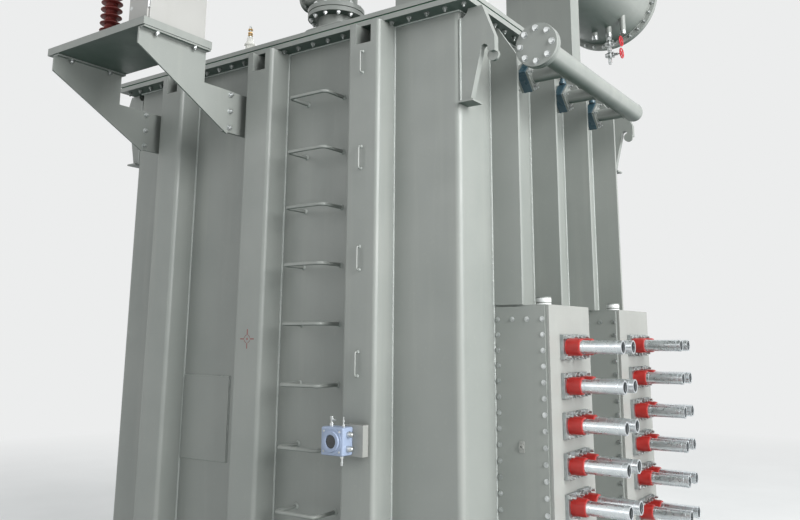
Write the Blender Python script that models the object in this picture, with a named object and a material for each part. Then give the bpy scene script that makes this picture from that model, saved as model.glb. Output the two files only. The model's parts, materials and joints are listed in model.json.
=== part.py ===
"""A power transformer: a welded tank with box stiffeners and edge fins, a bolted cover, a conservator
on saddle pedestals, a cooling header, two low-voltage terminal boxes, a rung ladder and a cantilever
platform. Metres, +Z up. The origin is the centre of the tank's footprint on the floor. The ladder
side faces -Y, and the terminal side faces +X."""

import math

import bmesh
import bpy
from mathutils import Vector

# Gaps and overlaps
seat_gap = 0.0003
overrun = 0.02
embed = 0.004
weld_distance = 0.00001
end_share = 0.8

# Tank
tank_length = 2.474
tank_depth = 2.013
tank_height = 3.027
tank_corner_radius = 0.032
base_thickness = 0.03
base_overhang = 0.11
wall_pad_left_clear = 0.015
wall_pad_right_clear = 0.166
wall_pad_height = 0.452
wall_pad_thickness = 0.008
wall_pad_bottom = 0.797

# Rim and cover
rim_overhang = 0.1
rim_thickness = 0.028
rim_inner_lap = 0.07
gasket_thickness = 0.007
gasket_inset = 0.006
cover_thickness = 0.025

# Box stiffeners on the long sides
stiffener_width = 0.198
stiffener_depth = 0.142
stiffener_from_end = 0.488
stiffener_bend = 0.02
stiffener_foot_rise = 0.11
stiffener_foot_depth = 0.085
window_width = 0.097
window_height = 0.115
window_depth = 0.11

# Edge fins on the short sides
fin_depth = 0.159
fin_thickness = 0.02
fin_first = 0.315
fin_pitch = 0.461
fin_chamfer_drop = 0.17
fin_top_depth = 0.05
fin_foot_rise = 0.1
fin_foot_depth = 0.1

# Terminal boxes
box_first_from_front = 0.316
box_pitch = 0.944
box_width = 0.49
box_stand_out = 0.291
box_bottom = 0.33
box_height = 1.287
panel_thickness = 0.012
side_cover_thickness = 0.006
side_cover_margin = 0.008
top_cap_radius = 0.036
top_cap_height = 0.04
top_cap_from_wall = 0.215
top_cap_from_edge = 0.11

# Low-voltage rods
rod_rows = 6
rod_top_drop = 0.2
rod_bottom_rise = 0.177
rod_column_pitch = 0.14
clamp_side = 0.12
clamp_thickness = 0.018
insulator_radius = 0.042
insulator_length = 0.087
tube_radius = 0.0325
tube_bore_radius = 0.0245
tube_end_from_panel = 0.292

# Ladder rungs
rung_count = 9
rung_pitch = 0.3
rung_first_height = 0.33
rung_width = 0.255
rung_stand_out = 0.15
rung_radius = 0.0095
rung_bend = 0.028
rung_offset = 0.009

# Handles on the third stiffener
clip_length = 0.112
clip_stand_out = 0.022
clip_radius = 0.0045
clip_bend = 0.009
clip_first_height = 1.34
clip_pitch = 0.5
clip_count = 4

# Lifting lugs
lug_thickness = 0.038
lug_from_front = 0.011
lug_top_reach = 0.125
lug_reach = 0.191
lug_shoulder_drop = 0.172
lug_nose_drop = 0.246
lug_nose_width = 0.026
lug_throat_radius = 0.02
lug_throat_out = 0.134
lug_throat_drop = 0.224
lug_foot_out = 0.054
lug_foot_drop = 0.478
lug_notch_radius = 0.045
lug_plate_reach = 0.083
lug_plate_width = 0.09
lug_plate_thickness = 0.01
lug_keeper_radius = 0.03
lug_keeper_thickness = 0.014
lug_keeper_out = 0.163
lug_keeper_drop = 0.253

# Cooling header and its valves
header_stand_out = 0.35
header_drop = 0.214
header_radius = 0.057
header_front = 0.155
header_length = 1.37
header_dish = 0.04
header_flange_radius = 0.11
header_flange_thickness = 0.02
blind_thickness = 0.022
branch_radius = 0.038
branch_first = 0.546
branch_flange_side = 0.12
branch_flange_thickness = 0.012
nozzle_length = 0.078
valve_side = 0.124
valve_thickness = 0.05
valve_spindle_radius = 0.011
valve_spindle_length = 0.05

# Cantilever platform
bracket_thickness = 0.01
bracket_outer = 0.82
bracket_step_out = 0.39
bracket_cleat_out = 0.175
bracket_bottom_out = 0.215
bracket_top_drop = 0.047
bracket_edge_drop = 0.09
bracket_step_drop = 0.18
bracket_bottom_drop = 0.43
bracket_clear = 0.055
bracket_flange_width = 0.04
cleat_thickness = 0.012
cleat_reach = 0.24
cleat_foot_width = 0.05
tray_thickness = 0.006
tray_lip_height = 0.042
tray_lip_thickness = 0.006
tray_side_overhang = 0.045
tray_front_overhang = 0.008
deck_clear_margin = 0.03
deck_seat_rise = 0.0002

# Arrester and cabinet on the platform
arrester_radius = 0.059
arrester_core_radius = 0.032
arrester_sheds = 11
arrester_shed_pitch = 0.042
shed_rise_share = 0.125
shed_rim_share = 0.25
shed_fall_share = 0.6
arrester_foot_height = 0.05
arrester_foot_radius = 0.05
arrester_cap_height = 0.06
arrester_cap_radius = 0.022
arrester_from_left = 0.24
arrester_from_outer = 0.215
cabinet_width = 0.17
cabinet_depth = 0.37
cabinet_height = 0.52
cabinet_edge = 0.03
cabinet_door_thickness = 0.012
cabinet_door_margin = 0.01
terminal_block_size = 0.05
terminal_block_length = 0.1
terminal_block_height = 0.06

# Gas sampling box on the third stiffener
sampler_height = 0.998
sampler_width = 0.13
sampler_depth = 0.075
sampler_body_height = 0.125
sampler_plate_width = 0.11
sampler_plate_height = 0.14
sampler_plate_thickness = 0.005
sampler_plate_offset = 0.015
sampler_stand_off = 0.035
sampler_body_offset = 0.052
sampler_window_radius = 0.036
sampler_window_out = 0.012
sampler_bend = 0.012
sampler_nut_radius = 0.014
sampler_nut_length = 0.03
sampler_cock_radius = 0.01
sampler_cock_length = 0.045

# Conservator
drum_radius = 0.37
drum_from_right_wall = 0.18
drum_rise = 1.013
drum_front = 0.23
drum_length = 2.84
drum_flange_radius = 0.41
drum_flange_thickness = 0.02
drum_dish = 0.06
pedestal_width = 0.46
pedestal_depth = 0.135
pedestal_foot_lap = 0.03
pedestal_foot_thickness = 0.016
pedestal_lap = 0.09
pedestal_front = 0.03
pedestal_rear = 1.3
stub_radius = 0.022
stub_length = 0.12
stub_from_drum_front = 2.55
stub_pitch = 0.11
gauge_radius = 0.11
gauge_thickness = 0.05
gauge_neck_radius = 0.045
gauge_neck_length = 0.1
gauge_drop = 0.27
cluster_body_radius = 0.032
cluster_drop = 0.1
cluster_pitch = 0.095
wheel_radius = 0.042
wheel_thickness = 0.012
wheel_stem_radius = 0.009
wheel_stem_length = 0.055

# Turret, small bushing and rail on the cover
turret_neck_radius = 0.105
turret_neck_height = 0.2
turret_flange_radius = 0.168
turret_flange_thickness = 0.03
turret_seam_share = 0.9
turret_seam_radius_share = 0.95
turret_head_radius = 0.125
turret_head_height = 0.24
turret_outlet_radius = 0.045
turret_outlet_length = 0.24
turret_outlet_flange_radius = 0.07
turret_outlet_flange_thickness = 0.016
turret_outlet_rise = 0.12
turret_from_right_wall = 1.0
turret_from_front = 0.24
bushing_height = 0.28
bushing_base_radius = 0.058
bushing_from_right_wall = 1.63
bushing_from_front = 0.15
rail_length = 0.28
rail_height = 0.065
rail_radius = 0.009
rail_bend = 0.027
rail_from_right_wall = 0.9
rail_from_front = 0.02

# Levels and places that follow from the sizes above
half_length = tank_length / 2
half_depth = tank_depth / 2
tank_top = base_thickness + tank_height
rim_top = tank_top + rim_thickness
gasket_top = rim_top + gasket_thickness
cover_top = gasket_top + cover_thickness
front = -half_depth
back = half_depth
right = half_length
left = -half_length
stiffener_pitch = half_length - stiffener_from_end
rod_row_pitch = (box_height - rod_top_drop - rod_bottom_rise) / (rod_rows - 1)
header_height = tank_top - header_drop
bracket_top = tank_top - bracket_top_drop
drum_height = cover_top + drum_rise
pedestal_top = drum_height - drum_radius + pedestal_lap


def clear_scene():
    for old in list(bpy.data.objects):
        bpy.data.objects.remove(old, do_unlink=True)


def painted(name, colour, roughness, metallic=0.0):
    material = bpy.data.materials.new(name)
    material.use_nodes = True
    shader = material.node_tree.nodes["Principled BSDF"]
    shader.inputs["Base Color"].default_value = (*colour, 1.0)
    shader.inputs["Roughness"].default_value = roughness
    shader.inputs["Metallic"].default_value = metallic
    return material


def add_object(name, bm, material, smooth=False):
    bmesh.ops.remove_doubles(bm, verts=bm.verts, dist=weld_distance)
    bmesh.ops.recalc_face_normals(bm, faces=bm.faces)
    mesh = bpy.data.meshes.new(name)
    bm.to_mesh(mesh)
    bm.free()
    mesh.materials.append(material)
    if smooth:
        mesh.shade_smooth()
        mesh.set_sharp_from_angle(angle=math.radians(30))
    obj = bpy.data.objects.new(name, mesh)
    bpy.context.scene.collection.objects.link(obj)
    return obj


def combine(obj, tool, operation):
    """Joins or cuts obj with a hidden tool object."""
    tool.hide_render = True
    tool.display_type = "WIRE"
    modifier = obj.modifiers.new(tool.name, "BOOLEAN")
    modifier.operation = operation
    modifier.solver = "EXACT"
    modifier.object = tool


def add_box(bm, low, high):
    low, high = Vector(low), Vector(high)
    made = bmesh.ops.create_cube(bm, size=1)
    bmesh.ops.scale(bm, vec=high - low, verts=made["verts"])
    bmesh.ops.translate(bm, vec=(low + high) / 2, verts=made["verts"])
    return made["verts"]


AXES = {
    "X": (Vector((0, 1, 0)), Vector((0, 0, 1)), Vector((1, 0, 0))),
    "Y": (Vector((1, 0, 0)), Vector((0, 0, 1)), Vector((0, 1, 0))),
    "Z": (Vector((1, 0, 0)), Vector((0, 1, 0)), Vector((0, 0, 1))),
}


def add_prism(bm, outline, axis, start, end):
    """Extrudes an outline, given in the two other axes, along one axis."""
    first, second, along = AXES[axis]
    verts = [bm.verts.new(first * a + second * b + along * start) for a, b in outline]
    face = bm.faces.new(verts)
    made = bmesh.ops.extrude_face_region(bm, geom=[face])
    moved = [item for item in made["geom"] if isinstance(item, bmesh.types.BMVert)]
    bmesh.ops.translate(bm, vec=along * (end - start), verts=moved)
    return verts + moved


def add_cylinder(bm, centre, axis, radius, start, end, sides):
    """A cylinder on an axis through centre, which gives the two other coordinates."""
    turn = 2 * math.pi / sides
    outline = [
        (centre[0] + radius * math.cos(turn * (i + 0.5)), centre[1] + radius * math.sin(turn * (i + 0.5)))
        for i in range(sides)
    ]
    return add_prism(bm, outline, axis, start, end)


def add_lathe(bm, profile, centre, axis, sides):
    """Spins a profile of (distance along, radius) about an axis through centre."""
    first, second, along = AXES[axis]
    origin = first * centre[0] + second * centre[1]
    verts = [bm.verts.new(origin + along * d + first * r) for d, r in profile]
    edges = [bm.edges.new(pair) for pair in zip(verts, verts[1:])]
    bmesh.ops.spin(
        bm,
        geom=verts + edges,
        cent=origin,
        axis=along,
        angle=2 * math.pi,
        steps=sides,
        use_merge=True,
        use_duplicate=False,
    )


def rounded_path(corners, bend, steps=4):
    """The corner points of a bent bar, with each inner corner turned at a bend radius."""
    path = [Vector(corners[0])]
    for before, corner, after in zip(corners, corners[1:], corners[2:]):
        before, corner, after = Vector(before), Vector(corner), Vector(after)
        into = (before - corner).normalized() * bend
        out = (after - corner).normalized() * bend
        for i in range(steps + 1):
            t = i / steps
            path.append(corner + into * (1 - t) ** 2 + out * t**2)
    path.append(Vector(corners[-1]))
    return path


def add_bar(bm, path, radius, sides, up):
    """A round bar along a path that lies in one plane, whose normal is up."""
    rings = []
    for i, point in enumerate(path):
        towards = path[min(i + 1, len(path) - 1)] - path[max(i - 1, 0)]
        side = towards.normalized().cross(up).normalized()
        rings.append(
            [
                bm.verts.new(
                    point
                    + (
                        side * math.cos(2 * math.pi * (k + 0.5) / sides)
                        + up * math.sin(2 * math.pi * (k + 0.5) / sides)
                    )
                    * radius
                )
                for k in range(sides)
            ]
        )
    for a, b in zip(rings, rings[1:]):
        for k in range(sides):
            m = (k + 1) % sides
            bm.faces.new((a[k], a[m], b[m], b[k]))
    bm.faces.new(rings[0][::-1])
    bm.faces.new(rings[-1])


def rounded_rectangle(x_low, x_high, y_low, y_high, radius, steps=4):
    corners = (
        (x_high - radius, y_low + radius, -90),
        (x_high - radius, y_high - radius, 0),
        (x_low + radius, y_high - radius, 90),
        (x_low + radius, y_low + radius, 180),
    )
    return [
        (
            cx + radius * math.cos(math.radians(start + 90 * i / steps)),
            cy + radius * math.sin(math.radians(start + 90 * i / steps)),
        )
        for cx, cy, start in corners
        for i in range(steps + 1)
    ]


def diamond(centre, side):
    """A square that stands on its corner."""
    reach = side / math.sqrt(2)
    return [
        (centre[0] - reach, centre[1]),
        (centre[0], centre[1] - reach),
        (centre[0] + reach, centre[1]),
        (centre[0], centre[1] + reach),
    ]


clear_scene()
tank_paint = painted("tank_paint", (0.30, 0.34, 0.32), 0.45)
panel_paint = painted("panel_paint", (0.52, 0.54, 0.50), 0.5)
gasket_rubber = painted("gasket_rubber", (0.02, 0.10, 0.06), 0.7)
valve_paint = painted("valve_paint", (0.10, 0.17, 0.23), 0.4)
cabinet_paint = painted("cabinet_paint", (0.72, 0.72, 0.68), 0.4)
arrester_red = painted("arrester_red", (0.35, 0.03, 0.03), 0.4)
sampler_paint = painted("sampler_paint", (0.60, 0.66, 0.70), 0.4)
porcelain_white = painted("porcelain_white", (0.8, 0.8, 0.78), 0.2)
bare_steel = painted("bare_steel", (0.6, 0.6, 0.6), 0.3, 0.9)

branch_places = [front + branch_first + i * fin_pitch for i in range(3)]
stiffener_places = [(i - 1) * stiffener_pitch for i in range(3)]
fin_places = [front + fin_first + i * fin_pitch for i in range(4)]
valve_inner = right + nozzle_length
valve_outer = valve_inner + valve_thickness


def build_base():
    bm = bmesh.new()
    reach_x = half_length + base_overhang
    reach_y = half_depth + base_overhang
    outline = rounded_rectangle(-reach_x, reach_x, -reach_y, reach_y, tank_corner_radius)
    add_prism(bm, outline, "Z", 0, base_thickness - seat_gap)
    add_object("base_plate", bm, tank_paint)


def build_tank():
    bm = bmesh.new()
    outline = rounded_rectangle(left, right, front, back, tank_corner_radius, 6)
    add_prism(bm, outline, "Z", base_thickness, tank_top - seat_gap)
    tank = add_object("tank_body", bm, tank_paint, smooth=True)

    bm = bmesh.new()
    pad_left = stiffener_places[0] + stiffener_width / 2 + wall_pad_left_clear
    pad_right = stiffener_places[1] - stiffener_width / 2 - wall_pad_right_clear
    add_box(
        bm,
        (pad_left, front - wall_pad_thickness, wall_pad_bottom),
        (pad_right, front + embed, wall_pad_bottom + wall_pad_height),
    )
    combine(tank, add_object("wall_pad", bm, tank_paint), "UNION")

    bm = bmesh.new()
    for y in branch_places:
        add_cylinder(bm, (y, header_height), "X", branch_radius, right - overrun, valve_inner - seat_gap, 20)
    combine(tank, add_object("wall_nozzles", bm, tank_paint), "UNION")
    bm = bmesh.new()
    for y in branch_places:
        inner = valve_inner - branch_flange_thickness
        add_prism(bm, diamond((y, header_height), branch_flange_side), "X", inner, valve_inner - seat_gap)
    combine(tank, add_object("nozzle_flanges", bm, tank_paint), "UNION")


def build_frame(name, reach_x, reach_y, low, high, material):
    """A flat ring round the top of the tank."""
    bm = bmesh.new()
    add_box(bm, (-reach_x, -reach_y, low), (reach_x, reach_y, high))
    ring = add_object(name, bm, material)
    bm = bmesh.new()
    inner_x = half_length - rim_inner_lap
    inner_y = half_depth - rim_inner_lap
    add_box(bm, (-inner_x, -inner_y, low - overrun), (inner_x, inner_y, high + overrun))
    combine(ring, add_object(name + "_opening", bm, material), "DIFFERENCE")


def build_top():
    reach_x = half_length + rim_overhang
    reach_y = half_depth + rim_overhang
    build_frame("rim_flange", reach_x, reach_y, tank_top, rim_top - seat_gap, tank_paint)
    build_frame(
        "rim_gasket",
        reach_x - gasket_inset,
        reach_y - gasket_inset,
        rim_top,
        gasket_top - seat_gap,
        gasket_rubber,
    )
    bm = bmesh.new()
    add_box(bm, (-reach_x, -reach_y, gasket_top), (reach_x, reach_y, cover_top - seat_gap))
    add_object("cover_plate", bm, tank_paint)


def build_stiffener(name, x, wall, outward):
    """A bent box welded to a long wall, with an access window under the rim and a slanted foot."""
    near = wall + outward * seat_gap
    far = wall + outward * stiffener_depth
    low = base_thickness
    outline = [
        (near, low),
        (wall + outward * stiffener_foot_depth, low),
        (far, low + stiffener_foot_rise),
        (far, tank_top - seat_gap),
        (near, tank_top - seat_gap),
    ]
    bm = bmesh.new()
    add_prism(bm, outline, "X", x - stiffener_width / 2, x + stiffener_width / 2)
    bmesh.ops.recalc_face_normals(bm, faces=bm.faces)
    bends = [
        edge
        for edge in bm.edges
        if all(abs(vert.co.y - far) < embed for vert in edge.verts)
        and abs(edge.verts[0].co.x - edge.verts[1].co.x) < embed
    ]
    bmesh.ops.bevel(bm, geom=bends, offset=stiffener_bend, segments=3, profile=0.5, affect="EDGES")
    stiffener = add_object(name, bm, tank_paint, smooth=True)

    bm = bmesh.new()
    cut_from, cut_to = sorted((far - outward * window_depth, far + outward * overrun))
    top = tank_top + overrun
    add_box(
        bm,
        (x - window_width / 2, cut_from, tank_top - window_height),
        (x + window_width / 2, cut_to, top),
    )
    combine(stiffener, add_object(name + "_window", bm, tank_paint), "DIFFERENCE")
    return stiffener


def build_stiffeners():
    for i, x in enumerate(stiffener_places):
        stiffener = build_stiffener(f"front_stiffener_{i + 1}", x, front, -1)
        build_stiffener(f"back_stiffener_{i + 1}", -x, back, 1)
    bm = bmesh.new()
    face = front - stiffener_depth
    for i in range(clip_count):
        low = clip_first_height + i * clip_pitch - clip_length / 2
        corners = (
            (x, face + embed, low),
            (x, face - clip_stand_out, low),
            (x, face - clip_stand_out, low + clip_length),
            (x, face + embed, low + clip_length),
        )
        add_bar(bm, rounded_path(corners, clip_bend, 2), clip_radius, 6, Vector((1, 0, 0)))
    combine(stiffener, add_object("clips", bm, tank_paint), "UNION")


def build_fin(name, wall, outward, y, low, foot):
    """A flat bar on edge: its top corner is cut back under the rim."""
    near = wall + outward * seat_gap
    far = wall + outward * fin_depth
    outline = [(near, low)]
    if foot:
        outline += [(wall + outward * fin_foot_depth, low), (far, low + fin_foot_rise)]
    else:
        outline += [(far, low)]
    outline += [
        (far, tank_top - fin_chamfer_drop),
        (wall + outward * fin_top_depth, tank_top - seat_gap),
        (near, tank_top - seat_gap),
    ]
    bm = bmesh.new()
    add_prism(bm, outline, "Y", y - fin_thickness / 2, y + fin_thickness / 2)
    add_object(name, bm, tank_paint)


def build_fins():
    box_top = box_bottom + box_height
    for i, y in enumerate(fin_places):
        build_fin(f"right_fin_{i + 1}", right, 1, y, box_top + seat_gap, False)
        build_fin(f"left_fin_{i + 1}", left, -1, y, base_thickness, True)


def build_terminal_box(index):
    y_low = front + box_first_from_front + index * box_pitch
    y_high = y_low + box_width
    z_low, z_high = box_bottom, box_bottom + box_height
    panel_back = right + box_stand_out - panel_thickness
    bm = bmesh.new()
    add_box(bm, (right + seat_gap, y_low, z_low), (panel_back - seat_gap, y_high, z_high))
    box = add_object(f"terminal_box_{index + 1}", bm, tank_paint)
    bm = bmesh.new()
    for wall, outward in ((y_low, -1), (y_high, 1)):
        cover = sorted((wall - outward * embed, wall + outward * side_cover_thickness))
        add_box(
            bm,
            (right + side_cover_margin, cover[0], z_low + side_cover_margin),
            (panel_back - side_cover_margin, cover[1], z_high - side_cover_margin),
        )
    combine(box, add_object(f"side_covers_{index + 1}", bm, tank_paint), "UNION")
    bm = bmesh.new()
    centre = (right + top_cap_from_wall, y_low + top_cap_from_edge)
    add_cylinder(bm, centre, "Z", top_cap_radius, z_high - embed, z_high + top_cap_height, 20)
    combine(box, add_object(f"top_cap_{index + 1}", bm, cabinet_paint), "UNION")

    face = panel_back + panel_thickness
    bm = bmesh.new()
    add_box(bm, (panel_back, y_low, z_low), (face, y_high, z_high))
    panel = add_object(f"terminal_panel_{index + 1}", bm, panel_paint, smooth=True)
    middle = (y_low + y_high) / 2
    places = [
        (middle + side * rod_column_pitch / 2, z_high - rod_top_drop - row * rod_row_pitch)
        for side in (-1, 1)
        for row in range(rod_rows)
    ]
    bm = bmesh.new()
    for y, z in places:
        add_box(
            bm,
            (face - embed, y - clamp_side / 2, z - clamp_side / 2),
            (face + clamp_thickness, y + clamp_side / 2, z + clamp_side / 2),
        )
    combine(panel, add_object(f"clamps_{index + 1}", bm, bare_steel), "UNION")
    bm = bmesh.new()
    profile = (
        (face - embed, 0),
        (face - embed, insulator_radius),
        (face + insulator_length, insulator_radius),
        (face + insulator_length, tube_radius),
        (face + tube_end_from_panel, tube_radius),
        (face + tube_end_from_panel, tube_bore_radius),
        (face + insulator_length, tube_bore_radius),
        (face + insulator_length, 0),
    )
    for y, z in places:
        add_lathe(bm, profile, (y, z), "X", 12)
    combine(panel, add_object(f"rods_{index + 1}", bm, bare_steel, smooth=True), "UNION")


def build_rungs():
    x = (stiffener_places[1] + stiffener_places[2]) / 2 + rung_offset
    for i in range(rung_count):
        z = rung_first_height + i * rung_pitch
        corners = (
            (x - rung_width / 2, front - seat_gap, z),
            (x - rung_width / 2, front - rung_stand_out, z),
            (x + rung_width / 2, front - rung_stand_out, z),
            (x + rung_width / 2, front - seat_gap, z),
        )
        bm = bmesh.new()
        add_bar(bm, rounded_path(corners, rung_bend), rung_radius, 10, Vector((0, 0, 1)))
        add_object(f"ladder_rung_{i + 1}", bm, tank_paint, smooth=True)


def arc_points(centre, radius, start, end, steps):
    return [
        (
            centre[0] + radius * math.cos(math.radians(start + (end - start) * i / steps)),
            centre[1] + radius * math.sin(math.radians(start + (end - start) * i / steps)),
        )
        for i in range(steps + 1)
    ]


def build_lug(name, wall, outward, y_low):
    """A hook plate on edge: round throat, square nose, slanted tail, a foot plate and a round keeper."""
    z_top = tank_top - seat_gap
    throat_z = tank_top - lug_throat_drop
    outline = [(seat_gap, tank_top - lug_foot_drop)]
    outline += [(lug_foot_out, tank_top - lug_foot_drop)]
    outline += arc_points((lug_throat_out, throat_z), lug_throat_radius, 195, -35, 10)
    outline += [
        (lug_reach - lug_nose_width, tank_top - lug_nose_drop),
        (lug_reach, tank_top - lug_nose_drop),
        (lug_reach, tank_top - lug_shoulder_drop),
        (lug_top_reach, z_top),
        (lug_notch_radius + seat_gap, z_top),
    ]
    outline += arc_points((seat_gap, z_top), lug_notch_radius, 0, -90, 5)[1:]
    outline = [(wall + outward * a, b) for a, b in outline]
    bm = bmesh.new()
    add_prism(bm, outline, "Y", y_low, y_low + lug_thickness)
    lug = add_object(name, bm, tank_paint, smooth=True)

    bm = bmesh.new()
    middle = y_low + lug_thickness / 2
    plate_top = tank_top - lug_foot_drop + embed
    plate_x = sorted((wall + outward * seat_gap, wall + outward * lug_plate_reach))
    add_box(
        bm,
        (plate_x[0], middle - lug_plate_width / 2, plate_top - lug_plate_thickness),
        (plate_x[1], middle + lug_plate_width / 2, plate_top),
    )
    combine(lug, add_object(name + "_foot", bm, tank_paint), "UNION")
    bm = bmesh.new()
    inner = y_low + lug_thickness if y_low < 0 else y_low
    towards = 1 if y_low < 0 else -1
    keeper = sorted((inner - towards * embed, inner + towards * lug_keeper_thickness))
    centre = (wall + outward * lug_keeper_out, tank_top - lug_keeper_drop)
    add_cylinder(bm, centre, "Y", lug_keeper_radius, keeper[0], keeper[1], 18)
    combine(lug, add_object(name + "_keeper", bm, tank_paint), "UNION")


def build_lugs():
    near = front + lug_from_front
    far = back - lug_from_front - lug_thickness
    places = ((right, 1, near), (right, 1, far), (left, -1, near), (left, -1, far))
    for i, (wall, outward, y_low) in enumerate(places):
        build_lug(f"lifting_lug_{i + 1}", wall, outward, y_low)


def build_header():
    x = right + header_stand_out
    y_start = front + header_front
    y_end = y_start + header_length
    z = header_height
    bm = bmesh.new()
    profile = [(y_start, 0), (y_start, header_flange_radius)]
    profile += [(y_start + header_flange_thickness, header_flange_radius)]
    profile += [(y_start + header_flange_thickness, header_radius), (y_end, header_radius)]
    profile += [
        (
            y_end + header_dish * math.sin(math.radians(angle)),
            header_radius * math.cos(math.radians(angle)),
        )
        for angle in (22.5, 45, 67.5)
    ]
    profile += [(y_end + header_dish, 0)]
    add_lathe(bm, profile, (x, z), "Y", 28)
    header = add_object("header_pipe", bm, tank_paint, smooth=True)
    bm = bmesh.new()
    for y in branch_places:
        add_cylinder(bm, (y, z), "X", branch_radius, valve_outer + seat_gap, x, 20)
    combine(header, add_object("header_stubs", bm, tank_paint), "UNION")
    bm = bmesh.new()
    for y in branch_places:
        outer = valve_outer + branch_flange_thickness
        add_prism(bm, diamond((y, z), branch_flange_side), "X", valve_outer + seat_gap, outer)
    combine(header, add_object("stub_flanges", bm, tank_paint), "UNION")

    bm = bmesh.new()
    add_cylinder(bm, (x, z), "Y", header_flange_radius, y_start - blind_thickness, y_start - seat_gap, 28)
    add_object("header_blind_flange", bm, tank_paint, smooth=True)

    for i, y in enumerate(branch_places):
        bm = bmesh.new()
        add_prism(bm, diamond((y, z), valve_side), "X", valve_inner, valve_outer)
        valve = add_object(f"header_valve_{i + 1}", bm, valve_paint)
        bm = bmesh.new()
        top = z + valve_side / math.sqrt(2)
        centre = ((valve_inner + valve_outer) / 2, y)
        add_cylinder(bm, centre, "Z", valve_spindle_radius, z, top + valve_spindle_length, 12)
        combine(valve, add_object(f"valve_spindle_{i + 1}", bm, valve_paint), "UNION")


def build_platform():
    outer = front - bracket_outer
    planes = [stiffener_places[i] - stiffener_width / 2 - bracket_clear for i in range(2)]
    low_z = bracket_top - bracket_bottom_drop
    for i, x in enumerate(planes):
        outline = [
            (outer, bracket_top - seat_gap),
            (outer, bracket_top - bracket_edge_drop),
            (front - bracket_bottom_out, low_z),
            (front - bracket_cleat_out, low_z + (bracket_bottom_out - bracket_cleat_out)),
            (front - bracket_cleat_out, bracket_top - bracket_step_drop),
            (front - bracket_step_out, bracket_top - bracket_step_drop),
            (front - bracket_step_out, bracket_top - seat_gap),
        ]
        bm = bmesh.new()
        add_prism(bm, outline, "X", x - bracket_thickness, x)
        bracket = add_object(f"platform_bracket_{i + 1}", bm, tank_paint)
        bm = bmesh.new()
        add_box(
            bm,
            (x - bracket_thickness / 2, outer, bracket_top - bracket_thickness),
            (x + bracket_flange_width, front - bracket_step_out, bracket_top - seat_gap),
        )
        combine(bracket, add_object(f"bracket_flange_{i + 1}", bm, tank_paint), "UNION")

        cleat_low = low_z + bracket_thickness
        cleat_high = bracket_top - bracket_step_drop
        bm = bmesh.new()
        add_box(
            bm,
            (x - bracket_thickness - cleat_thickness, front - cleat_reach, cleat_low),
            (x - bracket_thickness / 2, front - seat_gap, cleat_high),
        )
        combine(bracket, add_object(f"bracket_cleat_{i + 1}", bm, tank_paint), "UNION")
        bm = bmesh.new()
        add_box(
            bm,
            (x - bracket_thickness - cleat_foot_width, front - cleat_thickness, cleat_low),
            (x - bracket_thickness - cleat_thickness / 2, front - seat_gap, cleat_high),
        )
        combine(bracket, add_object(f"cleat_foot_{i + 1}", bm, tank_paint), "UNION")

    tray_left = planes[0] - bracket_thickness - tray_side_overhang
    tray_right = planes[1] + tray_side_overhang
    tray_outer = outer - tray_front_overhang
    tray_inner = front - bracket_step_out
    bm = bmesh.new()
    add_box(
        bm,
        (tray_left, tray_outer, bracket_top),
        (tray_right, tray_inner, bracket_top + tray_lip_height),
    )
    tray = add_object("platform_tray", bm, tank_paint)
    arrester_x = tray_left + arrester_from_left
    arrester_y = tray_outer + arrester_from_outer
    cabinet_right = tray_right - tray_lip_thickness - side_cover_margin
    block_left = cabinet_right - cabinet_width - terminal_block_size * 2
    bm = bmesh.new()
    add_box(
        bm,
        (
            tray_left + tray_lip_thickness,
            tray_outer + tray_lip_thickness,
            bracket_top + tray_thickness,
        ),
        (
            tray_right - tray_lip_thickness,
            tray_inner - tray_lip_thickness,
            bracket_top + tray_lip_height + overrun,
        ),
    )
    combine(tray, add_object("tray_hollow", bm, tank_paint), "DIFFERENCE")
    # The free part of the deck, between the arrester and the junction block, is a seat of its own.
    margin = tray_lip_thickness + deck_clear_margin
    floor = bracket_top + tray_thickness
    bm = bmesh.new()
    add_box(
        bm,
        (arrester_x + arrester_foot_radius + deck_clear_margin, tray_outer + margin, floor - embed),
        (block_left - deck_clear_margin, tray_inner - margin, floor + deck_seat_rise),
    )
    combine(tray, add_object("deck_seat", bm, tank_paint), "UNION")

    deck = floor + seat_gap
    build_arrester(arrester_x, arrester_y, deck)
    build_cabinet(cabinet_right, tray_outer + cabinet_edge, deck)


def build_arrester(x, y, deck):
    profile = [(deck, 0), (deck, arrester_foot_radius)]
    profile += [(deck + arrester_foot_height, arrester_foot_radius)]
    profile += [(deck + arrester_foot_height, arrester_core_radius)]
    start = deck + arrester_foot_height + arrester_shed_pitch / 2
    for i in range(arrester_sheds):
        z = start + i * arrester_shed_pitch
        profile += [
            (z, arrester_core_radius),
            (z + arrester_shed_pitch * shed_rise_share, arrester_radius),
            (z + arrester_shed_pitch * shed_rim_share, arrester_radius),
            (z + arrester_shed_pitch * shed_fall_share, arrester_core_radius),
        ]
    top = start + arrester_sheds * arrester_shed_pitch
    profile += [
        (top, arrester_core_radius),
        (top, arrester_cap_radius),
        (top + arrester_cap_height, arrester_cap_radius),
        (top + arrester_cap_height, 0),
    ]
    bm = bmesh.new()
    add_lathe(bm, profile, (x, y), "Z", 18)
    add_object("surge_arrester", bm, arrester_red, smooth=True)


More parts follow.
